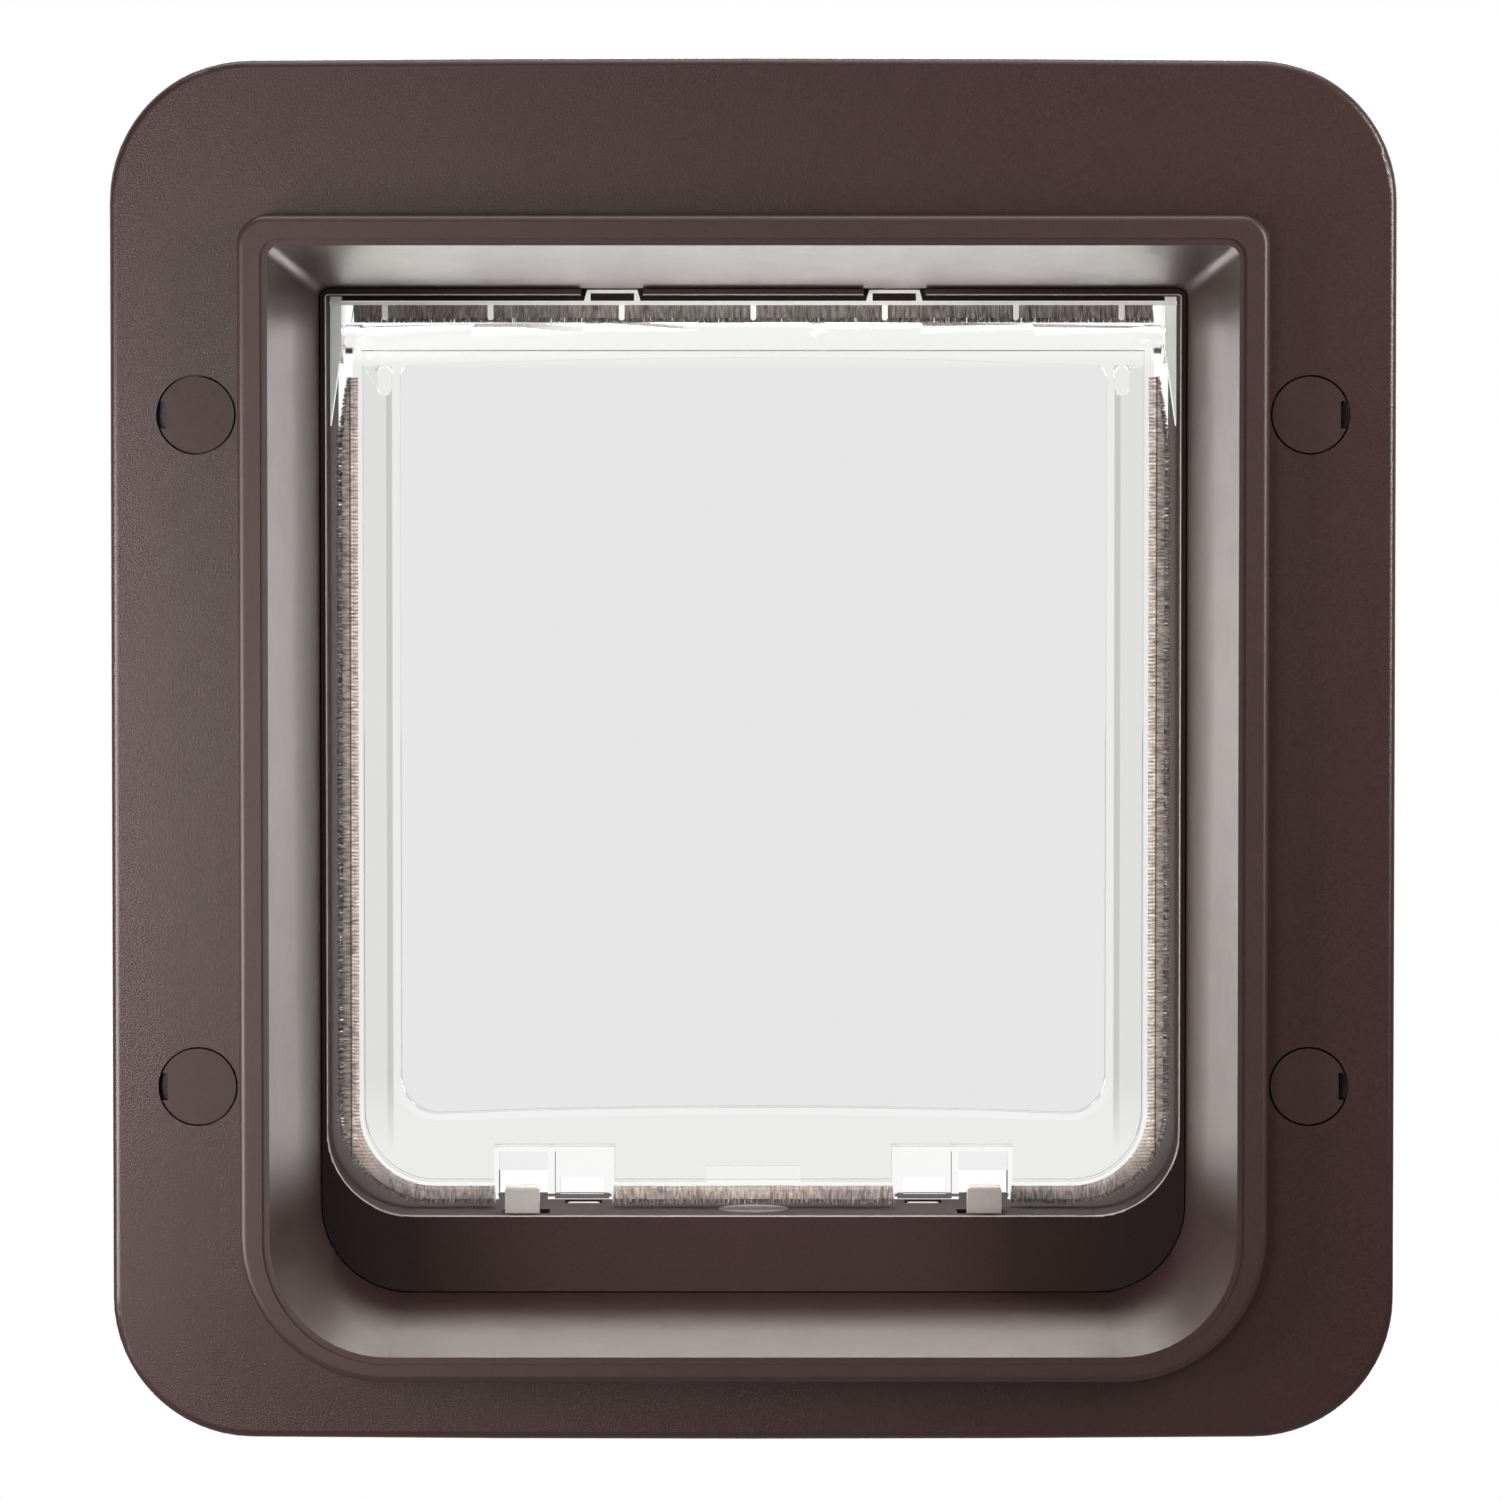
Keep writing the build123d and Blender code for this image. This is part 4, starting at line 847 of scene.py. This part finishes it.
FLAP_SHORTEST = 0.8
TOP_SHORTEST = 0.93
pile_strip("left_pile", side_path(-1), HINGE_Y, "flap", "left_brush", 11, FLAP_SHORTEST)
pile_strip("right_pile", side_path(1), HINGE_Y, "flap", "right_brush", 12, FLAP_SHORTEST)
bottom_path = [(x, PILE_ROOT_LOW, SILL_PILE) for x in (-PILE_BREAK_INNER, 0.0, PILE_BREAK_INNER)]
pile_strip("bottom_pile", bottom_path, HINGE_Y, "flap", "bottom_brush", 13, FLAP_SHORTEST)
top_path = [(x, TOP_PILE_Z, TOP_PILE) for x in (-TOP_PILE_HALF, 0.0, TOP_PILE_HALF)]
pile_strip("top_pile", top_path, TOP_PILE_Y, "door_unit", "top_brush", 14, TOP_SHORTEST)


def lamp(name, place, target, width, height, power, colour=(1.0, 1.0, 1.0)):
    """A soft rectangular lamp aimed at a point."""
    light = bpy.data.lights.new(name, "AREA")
    light.shape = "RECTANGLE"
    light.size = width
    light.size_y = height
    light.energy = power
    light.color = colour
    holder = bpy.data.objects.new(name, light)
    holder.location = place
    holder.visible_camera = False
    aim = Vector(target) - Vector(place)
    holder.rotation_euler = aim.to_track_quat("-Z", "Y").to_euler()
    bpy.context.scene.collection.objects.link(holder)


WARM = (1.0, 0.96, 0.93)
lamp("key_left", (-0.34, -0.22, -0.06), (-0.12, 0.0, -0.04), 0.2, 0.25, 1.85, WARM)
lamp("soft_left", (-0.42, -1.3, -0.05), (-0.1, 0.0, 0.0), 0.36, 0.26, 3.2, WARM)
lamp("card_top", (0.0, -1.5, 0.42), (0.0, 0.0, 0.12), 0.9, 0.3, 0.6, WARM)
lamp("top_front", (0.0, -0.6, 0.8), (0.0, 0.0, 0.0), 0.6, 0.3, 1.4, WARM)
lamp("strip_top", (0.0, -0.13, 0.9), (0.0, -0.03, 0.1), 1.0, 0.3, 5.0)
lamp("strip_right", (0.42, -0.26, 0.16), (0.12, 0.0, 0.07), 0.1, 0.3, 2.3, WARM)
lamp("back_high", (0.0, 1.0, 1.0), (0.0, 0.0, -0.08), 1.0, 0.5, 20.0, WARM)
lamp("back_low", (0.0, 0.9, -0.4), (0.0, 0.0, 0.1), 1.0, 0.22, 4.2, WARM)
lamp("back_left", (-0.6, 1.4, 0.0), (0.0, 0.0, 0.0), 0.6, 1.0, 5.0, WARM)
lamp("back_right", (0.6, 1.4, 0.0), (0.0, 0.0, 0.0), 0.6, 1.0, 5.0, WARM)

REAR_FADE = (-0.1, 0.3)
AHEAD_FADE = (0.55, 0.85)
DIM_LIGHT = (0.03, 0.10)
DIM_SPAN = (-0.6, 0.6)


def studio_world():
    """White to the camera, through clear plastic and in gloss that looks to the rear; dim for all else."""
    world = bpy.data.worlds.new("studio")
    world.use_nodes = True
    tree = world.node_tree
    tree.nodes.clear()
    rays = add_node(tree, "ShaderNodeLightPath").outputs
    heading = add_node(tree, "ShaderNodeSeparateXYZ")
    feed(tree, heading.inputs[0], add_node(tree, "ShaderNodeTexCoord").outputs["Generated"])
    rear = spread(tree, heading.outputs["Y"], 0.0, 1.0, *REAR_FADE)
    ahead = spread(tree, maths(tree, "ABSOLUTE", heading.outputs["Y"]), 0.0, 1.0, *AHEAD_FADE)
    mirrored = maths(tree, "MULTIPLY", rays["Is Glossy Ray"], rear)
    beyond = maths(tree, "MULTIPLY", rays["Is Transmission Ray"], ahead)
    shown = maths(tree, "MAXIMUM", rays["Is Camera Ray"], maths(tree, "MAXIMUM", mirrored, beyond))
    white = add_node(tree, "ShaderNodeBackground")
    feed(tree, white.inputs["Color"], WHITE)
    even = add_node(tree, "ShaderNodeBackground")
    feed(tree, even.inputs["Color"], (0.98, 0.99, 1.0, 1.0))
    feed(tree, even.inputs["Strength"], spread(tree, heading.outputs["Z"], *DIM_LIGHT, *DIM_SPAN))
    either = add_node(tree, "ShaderNodeMixShader")
    feed(tree, either.inputs[0], shown)
    tree.links.new(even.outputs[0], either.inputs[1])
    tree.links.new(white.outputs[0], either.inputs[2])
    output = add_node(tree, "ShaderNodeOutputWorld")
    tree.links.new(either.outputs[0], output.inputs["Surface"])
    bpy.context.scene.world = world


studio_world()

FLOOR_HEIGHT = -0.56
FLOOR_HALF = 12.0
FLOOR_NEAR = 0.4
FLOOR_FAR = 0.9


def floor_paper():
    """Pale paper that fades into the white background, and throws little light back up."""
    finish = Finish("pale_floor")
    tree = finish.tree
    paper = noise(tree, finish.place, 90.0)
    pale = blend_colour(tree, paper, (0.90, 0.90, 0.90, 1.0), (0.93, 0.93, 0.93, 1.0))
    rays = add_node(tree, "ShaderNodeLightPath").outputs
    finish.set("Base Color", blend_colour(tree, rays["Is Camera Ray"], (0.35, 0.35, 0.35, 1.0), pale))
    finish.set("Roughness", 0.9)
    glow = add_node(tree, "ShaderNodeEmission")
    seen = maths(tree, "MAXIMUM", rays["Is Camera Ray"], rays["Is Transmission Ray"])
    either = add_node(tree, "ShaderNodeMixShader")
    reach = add_node(tree, "ShaderNodeVectorMath", operation="LENGTH")
    feed(tree, reach.inputs[0], finish.place)
    faded = spread(tree, reach.outputs["Value"], 0.5, 1.0, FLOOR_NEAR, FLOOR_FAR)
    feed(tree, either.inputs[0], maths(tree, "MULTIPLY", seen, faded))
    tree.links.new(finish.shader.outputs["BSDF"], either.inputs[1])
    tree.links.new(glow.outputs[0], either.inputs[2])
    tree.links.new(either.outputs[0], finish.output.inputs["Surface"])
    return finish


floor_mesh = bpy.data.meshes.new("floor")
floor_mesh.from_pydata(
    [(x * FLOOR_HALF, y * FLOOR_HALF, FLOOR_HEIGHT) for x, y in ((-1, -1), (1, -1), (1, 1), (-1, 1))],
    [],
    [(0, 1, 2, 3)],
)
floor_mesh.materials.append(floor_paper().material)
floor = bpy.data.objects.new("floor", floor_mesh)
bpy.context.scene.collection.objects.link(floor)

# Camera: square on to the outside face, a little above its middle, dipped and with its lens shifted down
CAMERA_PLACE = (0.0, -1.405, 0.0703)
CAMERA_DIP = math.radians(2.245)
camera_data = bpy.data.cameras.new("camera")
camera_data.sensor_width = 36.0
camera_data.lens = 163.7
camera_data.shift_x = -0.0022
camera_data.shift_y = -0.0491
camera = bpy.data.objects.new("camera", camera_data)
camera.location = CAMERA_PLACE
camera.rotation_euler = (math.pi / 2 - CAMERA_DIP, 0.0, 0.0)
bpy.context.scene.collection.objects.link(camera)

scene = bpy.context.scene
scene.camera = camera
scene.view_settings.view_transform = "Standard"
scene.cycles.use_denoising = True
scene.cycles.max_bounces = 16
scene.cycles.transmission_bounces = 16
scene.cycles.transparent_max_bounces = 16
